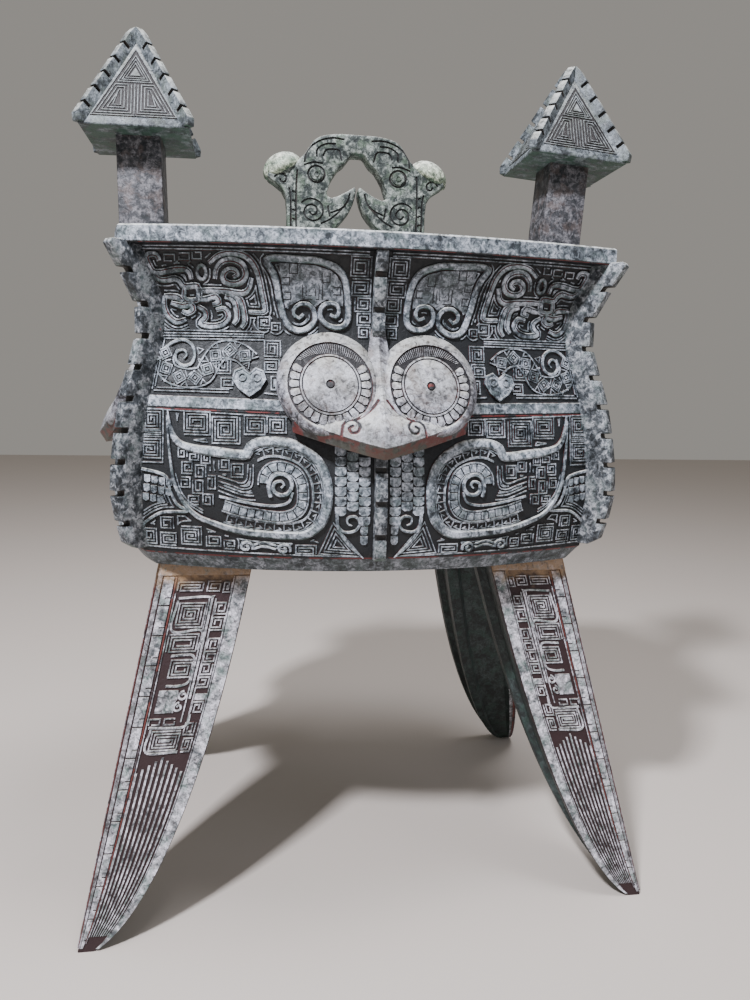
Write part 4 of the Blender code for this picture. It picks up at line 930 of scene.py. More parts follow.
BEAK_LIP = ((352.2, 18.0, 61.8, 28.8, 13.0), (344.5, 17.0, 60.8, 21.5, 8.0),
    (347.0, 16.0, 59.5, -2.4, -2.4))
LIP_MALACHITE_AND_SHADE_CREST = 0.38            # the underside of the beak is dark and greenish: malachite with painted shade
NOSTRIL = ((29.5, 357.5), (28.8, 362.5), (27.5, 367.5), (24.0, 370.3), (19.5, 370.3), (16.8, 366.8),
    (18.5, 363.0), (22.3, 362.3), (24.0, 365.0), (21.5, 366.8))
CHEEK_LINE = ((3.0, 384.0), (8.0, 378.0), (14.0, 373.5), (20.0, 370.5))


def mask_place(face, sign, share):
    """Places mask millimetres on a wall, shallower on the narrow walls."""
    depth = min(1.0, share + 0.1)

    def place(across, up, out):
        return wall_point(face, np.asarray(across) * sign * share * MM, np.asarray(up) * MM,
                          np.asarray(out) * depth * MM)
    place.mirrored = sign < 0
    return place


def eye_plane(x, z):
    """How far out the eye's sloping plane is at a point."""
    return EYE_PROUD - EYE_TILT * (z - EYE_Z) / RING_RADIUS


def draw_eye(store, place):
    """An eye: swelling socket, ring of scales, lashes, thin ring, disc and pupil."""
    angle = 2 * np.pi * np.arange(EYE_STEPS) / EYE_STEPS
    low = (1 - np.sin(angle)) / 2
    rings = []
    for radius, top_share, low_share, drop, crest in EYE_RINGS:
        x, z = EYE_ACROSS + radius * np.cos(angle), EYE_Z + radius * np.sin(angle)
        rise = eye_plane(x, z) * (top_share + (low_share - top_share) * low) - drop
        rings.append((place(x, z, rise), crest))
    start = store["count"]
    faces = ring_faces(len(rings), EYE_STEPS, start)
    if place.mirrored:
        faces = [tuple(reversed(face)) for face in faces]
    store["points"] += [ring for ring, _ in rings]
    store["faces"] += faces
    store["crest"].append(np.concatenate([np.full(EYE_STEPS, crest) for _, crest in rings]))
    store["count"] += EYE_STEPS * len(rings)

    def on_eye(across, up, out):
        across, up = np.asarray(across), np.asarray(up)
        return place(across, up, eye_plane(across, up) - 1.3 + np.asarray(out))
    on_eye.mirrored = place.mirrored
    for i in range(SCALES):
        middle = math.radians(SCALES_FROM + (SCALES_TO - SCALES_FROM) * (i + 0.5) / SCALES)
        half = math.radians(5.4)
        cell = []
        for radius, t in ((21.6, -0.85), (26.4, -1), (27.8, -0.5), (27.8, 0.5), (26.4, 1), (21.6, 0.85)):
            cell.append((EYE_ACROSS + radius * math.cos(middle + half * t),
                         EYE_Z + radius * math.sin(middle + half * t)))
        pad(store, on_eye, cell, 1.0)
    for i in range(HAIRS):
        share_round = (i + 0.5) / HAIRS
        at = math.radians(HAIRS_FROM + (HAIRS_TO - HAIRS_FROM) * share_round)
        inner = 27.9 - 2.2 - 4.6 * math.sin(share_round * math.pi)
        hair = [(EYE_ACROSS + radius * math.cos(at + turned), EYE_Z + radius * math.sin(at + turned))
                for radius, turned in ((inner, 0.05), (27.9, 0.0))]
        ridge(store, on_eye, hair, 0.45, 0.5, crest=0.8)


def draw_beak(store, place_right, rows, columns):
    """The brow and beak: one smooth form, with the nostril curls sunk into it."""
    crown = smooth_path(BEAK_LEVELS, per=rows // (len(BEAK_LEVELS) - 1))
    levels = np.vstack((crown, BEAK_LIP))
    t = np.linspace(-1, 1, columns)
    lines = [smooth_path(line, 0.6) for line in (NOSTRIL, CHEEK_LINE)]
    start = store["count"]
    for i, (middle_z, rise, half, out, side_out) in enumerate(levels):
        x = half * t
        z = middle_z + rise * np.abs(t)**1.15
        height = side_out + (out - side_out) * (1 - np.abs(t)**1.05)
        # The lip rows under the beak are coloured dark: malachite with painted shade
        crest = np.full(len(t), LIP_MALACHITE_AND_SHADE_CREST)
        if i < len(crown):
            across_up = np.stack((np.abs(x), z), axis=1)
            gaps = [distances_between(across_up, line).min(axis=1) for line in lines]
            sunk = np.clip(1.6 - np.minimum(*gaps) / 0.7, 0, 1)
            height = height - sunk
            crest = 1 - sunk
        store["points"].append(place_right(x, z, height))
        store["crest"].append(crest)
    faces = ring_faces(len(levels), columns, start, closed=False, capped=False)
    store["faces"] += [tuple(reversed(face)) for face in faces]
    store["count"] += len(levels) * columns


for face, share, name, rows, columns in ((FRONT, 1.0, "front", 120, 241), (RIGHT, 0.72, "right", 50, 101),
                                         (LEFT, 0.72, "left", 50, 101)):
    mask = new_relief()
    for sign in (-1, 1):
        draw_eye(mask, mask_place(face, sign, share))
    draw_beak(mask, mask_place(face, 1, share), rows, columns)
    relief_piece(f"owl_mask_{name}", mask, MASK_PATINA, 50)


# Flanges
# Notched bronze flanges along the corners and down the middle of three walls,
# cast with the body. Blunt edges, rubbed pale, with near-black painted shade in the notches.
FLANGE_PATINA = patina("mottled_bronze_patina", pale="#A8ABB0", middle="#4C5156", dark="#1D2226",
                       tint="#4C5A58", ground="#121415", red="#6E2620", red_share=0.0, cloud_mm=11,
                       tint_share=0.5)
# Near-black painted shade for the notches and the birds' cut lines
PAINTED_CUT_SHADE = patina("painted_shade_in_notches_and_cuts", pale="#2A2B2A", middle="#1E1F1F", dark="#141515", tint="#33251F",
               ground="#101112", red="#3A1A16", red_share=0.0, dust_and_facing_light=False)
FLANGE_THICKNESS = 0.0090
FLANGE_EMBED = 0.0058
FLANGE_TOP_Z = 0.4873
FLANGE_FOOT_Z = 0.2765
FLANGE_REACH = ((FLANGE_FOOT_Z, 0.0145), (0.3180, 0.0185), (0.4400, 0.0172), (FLANGE_TOP_Z, 0.0240))
FLANGE_NOTCHES = 9
NOTCH_WIDTH = 0.0036
NOTCH_DEPTH = 0.0060
FLANGE_ROUNDING = 0.0009


def notched(start, end, edge, inward, count, depth, width=NOTCH_WIDTH):
    """Points along edge(t) with square notches cut inward, and which of them are deep."""
    points = []
    half = width / 2 / (edge(end) - edge(start)).length * (end - start)
    for i in range(count):
        middle = start + (end - start) * (i + 0.5) / count
        for side, cut in ((-1, 0), (-1, depth), (1, depth), (1, 0)):
            points.append((*(edge(middle + side * half) + inward * cut), cut > 0))
    return points


def finish_casting(piece, rounding, sharpest):
    """Rounds the edges of a solid that are sharper than an angle, and lets it ride on the body."""
    face_outward(piece)
    select_only(piece)
    bpy.ops.object.modifier_add(type="BEVEL")
    soft = piece.modifiers[-1]
    soft.width = rounding
    soft.segments = 2
    soft.limit_method = "ANGLE"
    soft.angle_limit = math.radians(sharpest)
    bpy.ops.object.modifier_apply(modifier=soft.name)
    shade_smooth(piece, 35)
    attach(piece, "root")
    return piece


def cast_plate(name, outline, place, thickness, rounding, finish=None):
    """A plate with rounded edges, whose notches are lined with near-black painted shade."""
    flat = [(point[0], point[1]) for point in outline]
    deep = [len(point) > 2 and point[2] for point in outline]
    count = len(flat)
    points = [place(along, up, side * thickness / 2) for side in (-1, 1) for along, up in flat]
    faces = [tuple(range(count)), tuple(reversed(range(count, 2 * count)))]
    faces += [(i, count + i, count + (i + 1) % count, (i + 1) % count) for i in range(count)]
    piece = finish_mesh(name, points, faces, finish or FLANGE_PATINA)
    piece.data.materials.append(PAINTED_CUT_SHADE)
    for i in range(count):
        if deep[i] or deep[(i + 1) % count]:
            piece.data.polygons[2 + i].material_index = 1
    return finish_casting(piece, rounding, 40)


def corner_edge(z):
    """A point on the corner flange's outer edge: (out along the diagonal, height)."""
    return Vector((float(eased(z, HALF_KNOTS)) * math.sqrt(2) + float(eased(z, FLANGE_REACH)), z))


def corner_root(z):
    """A point on the corner flange's root, sunk into the wall."""
    return (float(eased(z, HALF_KNOTS)) * math.sqrt(2) - FLANGE_EMBED, z)


corner_outline = [corner_root(FLANGE_FOOT_Z), (corner_edge(FLANGE_FOOT_Z)[0] - 0.0072, FLANGE_FOOT_Z),
                  tuple(corner_edge(FLANGE_FOOT_Z + 0.005))]
corner_outline += notched(FLANGE_FOOT_Z + 0.008, FLANGE_TOP_Z - 0.008, corner_edge, Vector((-1, 0)),
                          FLANGE_NOTCHES, NOTCH_DEPTH)
corner_outline += [tuple(corner_edge(FLANGE_TOP_Z - 0.003)),
                   (corner_edge(FLANGE_TOP_Z)[0] - 0.003, FLANGE_TOP_Z)]
corner_outline += [corner_root(z) for z in np.linspace(FLANGE_TOP_Z, FLANGE_FOOT_Z + 0.02, 12)]
for sign_x in (-1, 1):
    for sign_y in (-1, 1):
        def place(along, up, side):
            shift, x = side / math.sqrt(2), along / math.sqrt(2)
            return (sign_x * (x + shift), sign_y * (x - DEPTH_LESS - shift), up)
        cast_plate(f"corner_flange_{'left' if sign_x < 0 else 'right'}_{'front' if sign_y < 0 else 'back'}",
                   corner_outline, place, FLANGE_THICKNESS, FLANGE_ROUNDING)

MIDDLE_THICKNESS = 0.0085
MIDDLE_REACH = 0.0085
MIDDLE_PITCH = 0.0260
EDGE_ROUNDING = 0.0008


def middle_outline(foot_z, top_z):
    """A short flange seen from the side: (out from the wall, height)."""
    count = max(1, round((top_z - foot_z) / MIDDLE_PITCH))
    outline = [(MIDDLE_REACH * 0.6, foot_z), (MIDDLE_REACH, foot_z + 0.003)]
    outline += notched(foot_z + 0.006, top_z - 0.004, lambda z: Vector((MIDDLE_REACH, z)), Vector((-1, 0)),
                       count, 0.0030)
    outline += [(MIDDLE_REACH, top_z - 0.001), (MIDDLE_REACH - 0.001, top_z)]
    return outline + [(-WALL / 2, float(z)) for z in np.linspace(top_z, foot_z, 9)]


for face, name in ((FRONT, "front"), (RIGHT, "right"), (LEFT, "left")):
    for level, foot_z, top_z in (("lower", BASE_Z - 0.002, 0.3520), ("upper", 0.4290, THROAT_Z)):
        def place(out, up, side):
            return tuple(wall_point(face, side, up, out))
        cast_plate(f"middle_flange_{name}_{level}", middle_outline(foot_z, top_z), place,
                   MIDDLE_THICKNESS, EDGE_ROUNDING)


# Legs
# Four splayed bronze legs, square in section with two grooved inner faces, cast
# with the body. Plain borders, panels of squares over dark red-brown, ochre at
# the top. The grooved inner faces are painted near-black green as shade.
LEG_TOP = (0.1550, 0.0950, 0.2655)
LEG_EDGE = 0.0050
LEG_RIM = 0.0100
LEG_GROOVE = 0.0060
LEG_CURVE = 0.5
FOOT_SHARE = 0.16
LEG_DEPTH = 0.0620
LEG_LEVELS = 48
DRAWN_WIDTH = 0.0600
# The long lines down a leg: place across, top, width, height, and crest where it is a red line
LEG_LONG_LINES = ((12.9, 252, 1.1, 0.8, RED_CREST), (14.3, 240, 0.8, 1.0, None), (50.0, 252, 0.9, 1.0, None))
LEGS = (("front_left", (-0.2085, -0.1580), 0.0680), ("front_right", (0.2150, -0.1460), 0.0600),
    ("back_right", (0.2030, 0.1520), 0.0660), ("back_left", (-0.2060, 0.1540), 0.0660))
LEG_PATINA = patina("ochre_and_grey_leg_patina", pale="#D8D5DE", middle="#949498", dark="#484C4F",
                    tint="#70867F", ground="#2B191B", red="#66302A", red_share=0.12, cloud_mm=13,
                    tint_share=0.45, stain_and_shade_band=("#94785A", 0.243, 0.254))
# The grooved inner faces, under the vessel, are painted near-black green as shade
LEG_INNER_PAINTED_SHADE = patina("painted_shade_leg_inner_faces", pale="#3A4443", middle="#1E2626", dark="#121617",
                          tint="#2C443C", ground="#151719", red="#4A2422", red_share=0.0, cloud_mm=13)
FIRST_SHADED, LAST_SHADED = 1, 10
# Drawing on a leg's outer faces, in millimetres from its outer edge and up from the feet
LEG_SQUARES = ((23, 245, 17, 7), (38, 245, 9, 8), (47, 244, 6, 8), (27, 224.5, 18, 18), (25.5, 205, 20, 13),
    (28, 187, 15, 13), (46, 229, 9, 9), (45.5, 218, 9, 10), (45.5, 204, 8, 8), (45, 195, 8, 8),
    (45, 186, 8, 8), (45, 177, 8, 8), (45, 160, 8, 8), (29, 137.5, 20, 14), (44, 145, 8, 9),
    (45, 134, 7, 10), (19, 150.5, 8, 5), (29, 150.5, 8, 5))
LEG_BARS = (((17, 235), (17, 213.5), (36, 213.5), (36.5, 200)), ((17, 236.5), (37, 237), (38.5, 230),
    (38.8, 166)), ((20, 196), (34, 196), (36, 188), (35.5, 178), (30, 175), (21, 175)), ((16, 146.5),
    (40, 146.5), (41.5, 155)), ((18, 146), (18, 130), (40, 129.5)))
LEG_CURLS = ((34, 168), (32.5, 160))
TONGUE = ((17.5, 172), (17.5, 156.5), (30, 156.5), (29.5, 163), (31, 167), (30, 172))
HOOK_PITCH = 21.0


def leg_taper(level):
    """The share of its full width that the drawing keeps at each height."""
    growth = np.sin(np.pi / 2 * np.clip(level, 0, 1)**LEG_CURVE)
    return np.sqrt(FOOT_SHARE**2 + (1 - FOOT_SHARE**2) * growth**2)


def leg_face(foot, width, along_x):
    """Places drawing millimetres on a leg's outer face to the front or back, or to the side."""
    side_x, side_y = math.copysign(1, foot[0]), math.copysign(1, foot[1])

    def place(across, up, out):
        across, up, out = (np.asarray(value, float) * MM for value in (across, up, out))
        level = up / LEG_TOP[2]
        taper = leg_taper(level)
        x = foot[0] + (side_x * LEG_TOP[0] - foot[0]) * level
        y = foot[1] + (side_y * LEG_TOP[1] - foot[1]) * level
        across = across * taper / DRAWN_WIDTH
        if along_x:
            x, y = x - side_x * across * width, y + side_y * out
        else:
            x, y = x + side_x * out, y - side_y * across * LEG_DEPTH
        return np.stack((x, y, up + 0 * across), axis=-1)
    place.mirrored = (side_x * side_y > 0) == along_x
    return place


for name, foot, width in LEGS:
    side_x, side_y = math.copysign(1, foot[0]), math.copysign(1, foot[1])
    rings = []
    for i in range(LEG_LEVELS):
        level = 1 - (i / (LEG_LEVELS - 1))**0.75
        taper = float(leg_taper(level))
        x = foot[0] + (side_x * LEG_TOP[0] - foot[0]) * level
        y = foot[1] + (side_y * LEG_TOP[1] - foot[1]) * level
        w, d = width * taper, LEG_DEPTH * taper
        rim, groove, edge = LEG_RIM * taper, LEG_GROOVE * taper, LEG_EDGE * taper
        section = ((edge, 0), (w, 0), (w, rim), (w - groove, rim * 1.5), (w - groove, d - rim * 1.5),
                   (w, d - rim), (w, d), (w - rim, d), (w - rim * 1.5, d - groove),
                   (rim * 1.5, d - groove), (rim, d), (0, d), (0, edge))
        rings.append([(x - side_x * a, y - side_y * b, LEG_TOP[2] * level) for a, b in section])
    points = np.concatenate(rings)
    # The two outer faces are ground for the drawing, the grooved inner ones are crust in the painted-shade
    # finish
    leg_crest = np.tile((0, 0, 0.9, 0.9, 0.9, 0.9, 0.9, 0.9, 0.9, 0.9, 0.9, 0, 0), len(rings))
    leg = finish_mesh(f"leg_{name}", points, ring_faces(len(rings), len(rings[0])), LEG_PATINA, leg_crest)
    leg.data.materials.append(LEG_INNER_PAINTED_SHADE)
    for i, face in enumerate(leg.data.polygons):
        if i < (LEG_LEVELS - 1) * len(section) and FIRST_SHADED <= i % len(section) < LAST_SHADED:
            face.material_index = 1
    face_outward(leg)
    shade_smooth(leg, 30)
    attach(leg, "root")
    drawing = new_relief()
    for along_x in (True, False):
        place = leg_face(foot, width, along_x)
        squares(drawing, place, LEG_SQUARES)
        for bar in LEG_BARS:
            ridge(drawing, place, smooth_path(bar, 2.5), 1.6, 1.0)
        for centre in LEG_CURLS:
            ridge(drawing, place, round_spiral(centre, 3.4, 1.0, 1.2, 90, 12), 1.3, 1.0)
        pad(drawing, place, TONGUE, 1.0, crest=0.8)
        pad(drawing, place, [(42, 169), (50, 169), (50, 165), (42, 165)], 1.0)
        for i in range(9):
            a = 15 + 4.0 * i
            top = 126 - 2.5 * abs(4 - i)
            ridge(drawing, place, [(a, z) for z in np.linspace(top, 10, 14)], 1.7, 0.9, crest=0.85)
        # The outer border: a grey strip on the edge, a pale one beside it with short cross strokes
        ridge(drawing, place, [(2.6, z) for z in np.linspace(262, 3, 40)], 3.4, 0.8, crest=GREY_CREST)
        for high in np.arange(252, 8, -HOOK_PITCH):
            low = max(high - HOOK_PITCH + 1.1, 3)
            for near, far, rise in ((5.1, 8.2, 0.0), (8.3, 11.6, 5.5)):
                z = np.linspace(high if near < 8 else high - 0.1, min(low + rise, high - 1), 5)
                strip = [(near, value) for value in z] + [(far, value) for value in z[::-1]]
                pad(drawing, place, strip, 0.9, slope=0.1)
            if low + 5 < high:
                stub = [(8.3, low + 4.4), (8.3, low), (11.6, low), (11.6, low + 4.4)]
                pad(drawing, place, stub, 0.9, slope=0.1)
        for z0 in np.arange(252, 6, -20.0):
            z = np.linspace(z0, max(z0 - 20.0, 2), 5)
            strip = [(51, value) for value in z] + [(59.4, value) for value in z[::-1]]
            pad(drawing, place, strip, 0.9)
        pad(drawing, place, [(0.8, 262), (30, 262), (59.4, 262), (59.4, 253), (30, 253), (0.8, 253)], 0.9)
        for across, top, width, height, crest in LEG_LONG_LINES:
            ridge(drawing, place, [(across, z) for z in np.linspace(top, 6, 30)], width, height, crest=crest)
        for across in (41, 36.8):
            ridge(drawing, place, [(across, 236), (across, 150)], 0.9, 1.0)
    relief_piece(f"leg_relief_{name}", drawing, LEG_PATINA, 40)


# Posts and caps
# Two square bronze posts on the rim, cast with it, each under a pyramid cap with
# notched edges. The pale crust is thick on the caps and thin on the posts.
POST_WIDTH, POST_DEPTH, POST_TAPER = 0.0348, 0.0376, 0.97
# Each post's place across and its lean in degrees
POSTS = (("left", -0.1735, -1.2), ("right", 0.1705, 4.2))
CAP_Z = 0.5830
CAP_HALF_WIDTH, CAP_HALF_DEPTH = 0.0402, 0.0400
CAP_HEIGHT = 0.0800
CAP_EDGE = 0.0015
CAP_TOP_Z = 0.6670
CAP_CROWN = 0.0045
CAP_FLANGE_REACH = 0.0065
CAP_FLANGE_THICKNESS = 0.0070
CAP_NOTCHES = 5
CAP_NOTCH_WIDTH, CAP_NOTCH_DEPTH = 0.0024, 0.0062
# The drawn triangle on a cap's slope, in millimetres up the slope and across
CAP_FOOT_UP, CAP_TIP_UP, CAP_WIDE = 7.0, 72.0, 31.0
CAP_LINE_PITCH = 2.5
CAP_PATINA = patina("pale_lime_bronze_patina", pale="#7F868B", middle="#4C5256", dark="#272C2F",
                    tint="#5E6660", ground="#140D0E", red="#6A2822", red_share=0.06, cloud_mm=12,
                    tint_share=0.5)
POST_PATINA = patina("pink_grey_post_patina", pale="#747276", middle="#3E3E42", dark="#222529",
                     tint="#54453F", ground="#15171A", red="#5A2A26", red_share=0.0, cloud_mm=6,
                     tint_share=0.5)


def lean(foot_x, degrees):
    """Turns about a post's foot, in the plane of the posts."""
    foot = Vector((foot_x, 0, RIM_TOP_Z))
    turn = Matrix.Rotation(math.radians(degrees), 4, "Y")
    return Matrix.Translation(foot) @ turn @ Matrix.Translation(-foot)


def box_ring(centre_x, half_x, half_y, z, matrix):
    """The four corners of a level rectangle, moved by a matrix."""
    corners = ((-half_x, -half_y), (half_x, -half_y), (half_x, half_y), (-half_x, half_y))
    return [tuple(matrix @ Vector((centre_x + x, y, z))) for x, y in corners]


def lofted(name, rings, finish, rounding, crest=0.9):
    """A closed solid through rings with the same number of points, its edges rounded."""
    points = [point for ring in rings for point in ring]
    piece = finish_mesh(name, points, ring_faces(len(rings), len(rings[0])), finish,
                        np.full(len(points), crest))
    return finish_casting(piece, rounding, 30)


for side_name, foot_x, degrees in POSTS:
    matrix = lean(foot_x, degrees)
    upright = Matrix.Identity(4)
    side = math.copysign(1, foot_x)
    half_x, half_y = POST_WIDTH / 2, POST_DEPTH / 2
    post_rings = [box_ring(foot_x, half_x, half_y, z, upright)
                  for z in (THROAT_Z + 0.0006, RIM_TOP_Z + 0.0010)]
    post_rings.append(box_ring(foot_x, half_x * POST_TAPER, half_y * POST_TAPER, CAP_Z + 0.0040, matrix))
    lofted(f"post_{side_name}", post_rings, POST_PATINA, 0.0012)
    inner_x = abs(foot_x) - half_x
    low_z = THROAT_Z - 0.0240
    wall_x, low_x = (float(eased(z, HALF_KNOTS)) + SIDE_BULGE_SHARE * float(eased(z, BULGE_KNOTS)) - WALL / 2
                     for z in (THROAT_Z, low_z))
    bracket_rings = [box_ring(side * (low_x - 0.0010), 0.0010, half_y * 0.86, low_z, upright),
                     box_ring(side * (inner_x + wall_x) / 2, (wall_x - inner_x) / 2, half_y * 0.96,
                              THROAT_Z + 0.0020, upright)]
    lofted(f"post_bracket_{side_name}", bracket_rings, FLANGE_PATINA, 0.0006)
    cap_rings = [box_ring(foot_x, CAP_HALF_WIDTH, CAP_HALF_DEPTH, z, matrix)
                 for z in (CAP_Z, CAP_Z + CAP_EDGE)]
    cap_rings.append(box_ring(foot_x, 0.0010, 0.0010, CAP_Z + CAP_HEIGHT, matrix))
    lofted(f"cap_{side_name}", cap_rings, CAP_PATINA, EDGE_ROUNDING)
    half_diagonal = math.hypot(CAP_HALF_WIDTH, CAP_HALF_DEPTH)
    slope = Vector((-half_diagonal, CAP_HEIGHT)).normalized()
    outward = Vector((slope.y, -slope.x))
    base = Vector((half_diagonal, CAP_Z))
    crown = (CAP_TOP_Z - CAP_CROWN - CAP_Z - outward.y * CAP_FLANGE_REACH) / slope.y

    def edge(t):
        return base + outward * CAP_FLANGE_REACH + slope * t

    slopes = [tuple(base + Vector((-CAP_FLANGE_REACH, CAP_EDGE))),
              tuple(base + outward * CAP_FLANGE_REACH * 0.4), tuple(edge(0.0045))]
    slopes += notched(0.0080, crown - 0.0040, edge, -outward, CAP_NOTCHES, CAP_NOTCH_DEPTH, CAP_NOTCH_WIDTH)
    slopes += [tuple(edge(crown)), (edge(crown).x * 0.45, CAP_TOP_Z)]
    outline = slopes + [(-point[0], *point[1:]) for point in reversed(slopes)]
    unit_x, unit_y = CAP_HALF_WIDTH / half_diagonal, CAP_HALF_DEPTH / half_diagonal
    for turn, label in ((-1, "a"), (1, "b")):
        def place(along, up, across):
            x = along * unit_x - across * unit_y * turn
            y = turn * along * unit_y + across * unit_x
            return tuple(matrix @ Vector((foot_x + x, y, up)))
        cast_plate(f"cap_flange_{side_name}_{label}", outline, place, CAP_FLANGE_THICKNESS, EDGE_ROUNDING,
                   CAP_PATINA)
    drawing = new_relief()
    for quarter in range(4):
        reach, half = ((CAP_HALF_DEPTH, CAP_HALF_WIDTH), (CAP_HALF_WIDTH, CAP_HALF_DEPTH))[quarter % 2]
        length = math.hypot(reach, CAP_HEIGHT)
        up_slope = Vector((0, reach / length, CAP_HEIGHT / length))
        away = Vector((0, -CAP_HEIGHT / length, reach / length))
        spin = Matrix.Rotation(math.pi / 2 * quarter, 4, "Z")
        move = matrix @ Matrix.Translation((foot_x, 0, CAP_Z + CAP_EDGE)) @ spin

        def on_cap(across, up, out):
            across, up, out = np.broadcast_arrays(*(np.asarray(value, float) for value in (across, up, out)))
            found = [move @ (Vector((a * MM, -reach, 0)) + up_slope * (u * MM) + away * (o * MM))
                     for a, u, o in zip(across.ravel(), up.ravel(), out.ravel())]
            return np.array([tuple(point) for point in found]).reshape(*across.shape, 3)
        on_cap.mirrored = False
        triangle = np.array([(-CAP_WIDE, CAP_FOOT_UP), (CAP_WIDE, CAP_FOOT_UP), (0, CAP_TIP_UP)])
        pad(drawing, on_cap, triangle, 0.25, crest=0.0)
        ridge(drawing, on_cap, triangle, 0.8, 0.9, closed=True)
        small = np.array([(-12.4, 39.4), (12.4, 39.4), (0, 65.5)])
        middle = small.mean(axis=0)
        for shrink in (1.0, 0.77, 0.54):
            ridge(drawing, on_cap, middle + (small - middle) * shrink, 0.75, 0.9, closed=True)
        pad(drawing, on_cap, middle + (small - middle) * 0.30, 0.9)
        ridge(drawing, on_cap, [(0, CAP_FOOT_UP + 1), (0, 37.5)], 0.75, 0.9)
        for sign in (-1, 1):
            path = [(2.4, 36.6)]
            for winding in range(4):
                inset = CAP_LINE_PITCH * winding
                low, high = CAP_FOOT_UP + 2.3 + inset, 36.6 - inset
                sides = [CAP_WIDE * (CAP_TIP_UP - up) / (CAP_TIP_UP - CAP_FOOT_UP) - 2.6 - 1.1 * inset
                         for up in (low, high)]
                next_left = 2.4 + inset + CAP_LINE_PITCH
                path += [(2.4 + inset, low), (sides[0], low), (max(sides[1], next_left), high),
                         (next_left, high)]
            ridge(drawing, on_cap, [(sign * across, up) for across, up in path], 0.75, 0.9)
    relief_piece(f"cap_relief_{side_name}", drawing, CAP_PATINA, 40)


# Handle
# A bronze loop with a beast's head at its upper root, cast on at the middle of
# the back. Plainer than the front, in the same grey-green crust.
HANDLE_TOP_Z, HANDLE_FOOT_Z, HANDLE_REACH_Y = 0.4520, 0.3300, 0.1740
HANDLE_WIDTH, HANDLE_THICKNESS, HANDLE_HEAD = 0.0210, 0.0120, 0.0170
HANDLE_STEPS = 36
# The beast's head: how far out each ring lies, and its share of the full size
HEAD_PROFILE = ((0, 0.78), (0.006, 0.92), (0.012, 1.0), (0.019, 1.0), (0.026, 0.95), (0.033, 0.82),
    (0.038, 0.66), (0.040, 0.45))
SOFT_EDGE = 0.0002
middle_z, half_z = (HANDLE_TOP_Z + HANDLE_FOOT_Z) / 2, (HANDLE_TOP_Z - HANDLE_FOOT_Z) / 2
root_y = float(eased(middle_z, HALF_KNOTS)) - DEPTH_LESS + float(eased(middle_z, BULGE_KNOTS)) - WALL / 2
reach_y = HANDLE_REACH_Y - HANDLE_THICKNESS / 2 - root_y
handle_rings = []
for i in range(HANDLE_STEPS + 1):
    angle = math.pi * (i / HANDLE_STEPS - 0.5)
    centre = Vector((0, root_y + reach_y * abs(math.cos(angle))**0.7, middle_z - half_z * math.sin(angle)))
    turned = Matrix.Rotation(-angle * 0.92, 4, "X")
    around = [Vector((HANDLE_WIDTH / 2 * math.copysign(abs(math.cos(a))**0.6, math.cos(a)),
                      HANDLE_THICKNESS / 2 * math.copysign(abs(math.sin(a))**0.8, math.sin(a)), 0))
              for a in np.arange(20) * math.pi / 10]
    handle_rings.append([tuple(centre + turned @ offset) for offset in around])
lofted("handle_loop", handle_rings, FLANGE_PATINA, SOFT_EDGE)
head_z = HANDLE_TOP_Z - HANDLE_THICKNESS * 0.4
wall_y = float(eased(head_z, HALF_KNOTS)) - DEPTH_LESS + float(eased(head_z, BULGE_KNOTS)) - WALL / 2
head_rings = []
for out, scale in HEAD_PROFILE:
    head_rings.append([(HANDLE_HEAD * scale * math.cos(a), wall_y + out,
                        head_z + HANDLE_HEAD * 0.8 * scale * math.sin(a))
                       for a in np.arange(28) * math.pi / 14])
lofted("handle_head", head_rings, FLANGE_PATINA, SOFT_EDGE)
for sign in (-1, 1):
    horn_rings = []
    for t in np.linspace(0, 1, 7):
        size = 1 - 0.65 * t**1.5
        centre = (sign * (0.0070 + 0.0130 * t), wall_y + 0.0200 + 0.0030 * t, head_z + 0.0090 + 0.0110 * t)
        horn_rings.append([(centre[0] + math.cos(a) * 0.0042 * size, centre[1] + math.sin(a) * 0.0042 * size,
                            centre[2] - sign * math.cos(a) * 0.0020 * size)
                           for a in np.arange(12) * math.pi / 6])
    lofted(f"handle_horn_{'left' if sign < 0 else 'right'}", horn_rings, FLANGE_PATINA, SOFT_EDGE)


# Lid
# A loose low lid of cast bronze on the ledge inside the rim, notched round the
# posts. Its knob is a pair of birds back to back under an arch, cast with it.
LID_PATINA = patina("green_grey_lid_patina", pale="#8F958F", middle="#363D3A", dark="#1D2424", tint="#5A6A58",
                    ground="#121413", red="#6E2A22", red_share=0.02, cloud_mm=10, tint_share=0.5)


def cut_away(piece, cutter, **settings):
    """Cuts a closed mesh out of a piece and takes the cutter away."""
    select_only(piece)
    bpy.ops.object.modifier_add(type="BOOLEAN")
    cut = piece.modifiers[-1]
    cut.operation = "DIFFERENCE"
    cut.object = cutter
    cut.solver = "EXACT"
    for key, value in settings.items():
        setattr(cut, key, value)
    bpy.ops.object.modifier_apply(modifier=cut.name)
    bpy.data.objects.remove(cutter, do_unlink=True)
    deselect()


SEAT_GAP, LID_CLEARANCE, LID_THICKNESS, LID_RISE, LID_BORDER = 0.0003, 0.0006, 0.0060, 0.0080, 0.0200
seat_z = ledge_z + SEAT_GAP
lid_half = mouth_half - LID_CLEARANCE
lid_top = seat_z + LID_THICKNESS
crown_half = (lid_half + DEPTH_LESS) / 2
lid_rings = [plan_ring(seat_z, lid_half, RIM_BULGE), plan_ring(lid_top - 0.0008, lid_half, RIM_BULGE),
             plan_ring(lid_top, lid_half - 0.0008, RIM_BULGE),
             plan_ring(lid_top + LID_RISE * 0.5, lid_half - LID_BORDER, RIM_BULGE),
             plan_ring(lid_top + LID_RISE, crown_half, RIM_BULGE * 0.4)]
lid_points = np.concatenate(lid_rings)
lid_plate = finish_mesh("lid_plate", lid_points, ring_faces(len(lid_rings), len(lid_rings[0])), LID_PATINA,
                        np.full(len(lid_points), 0.8))
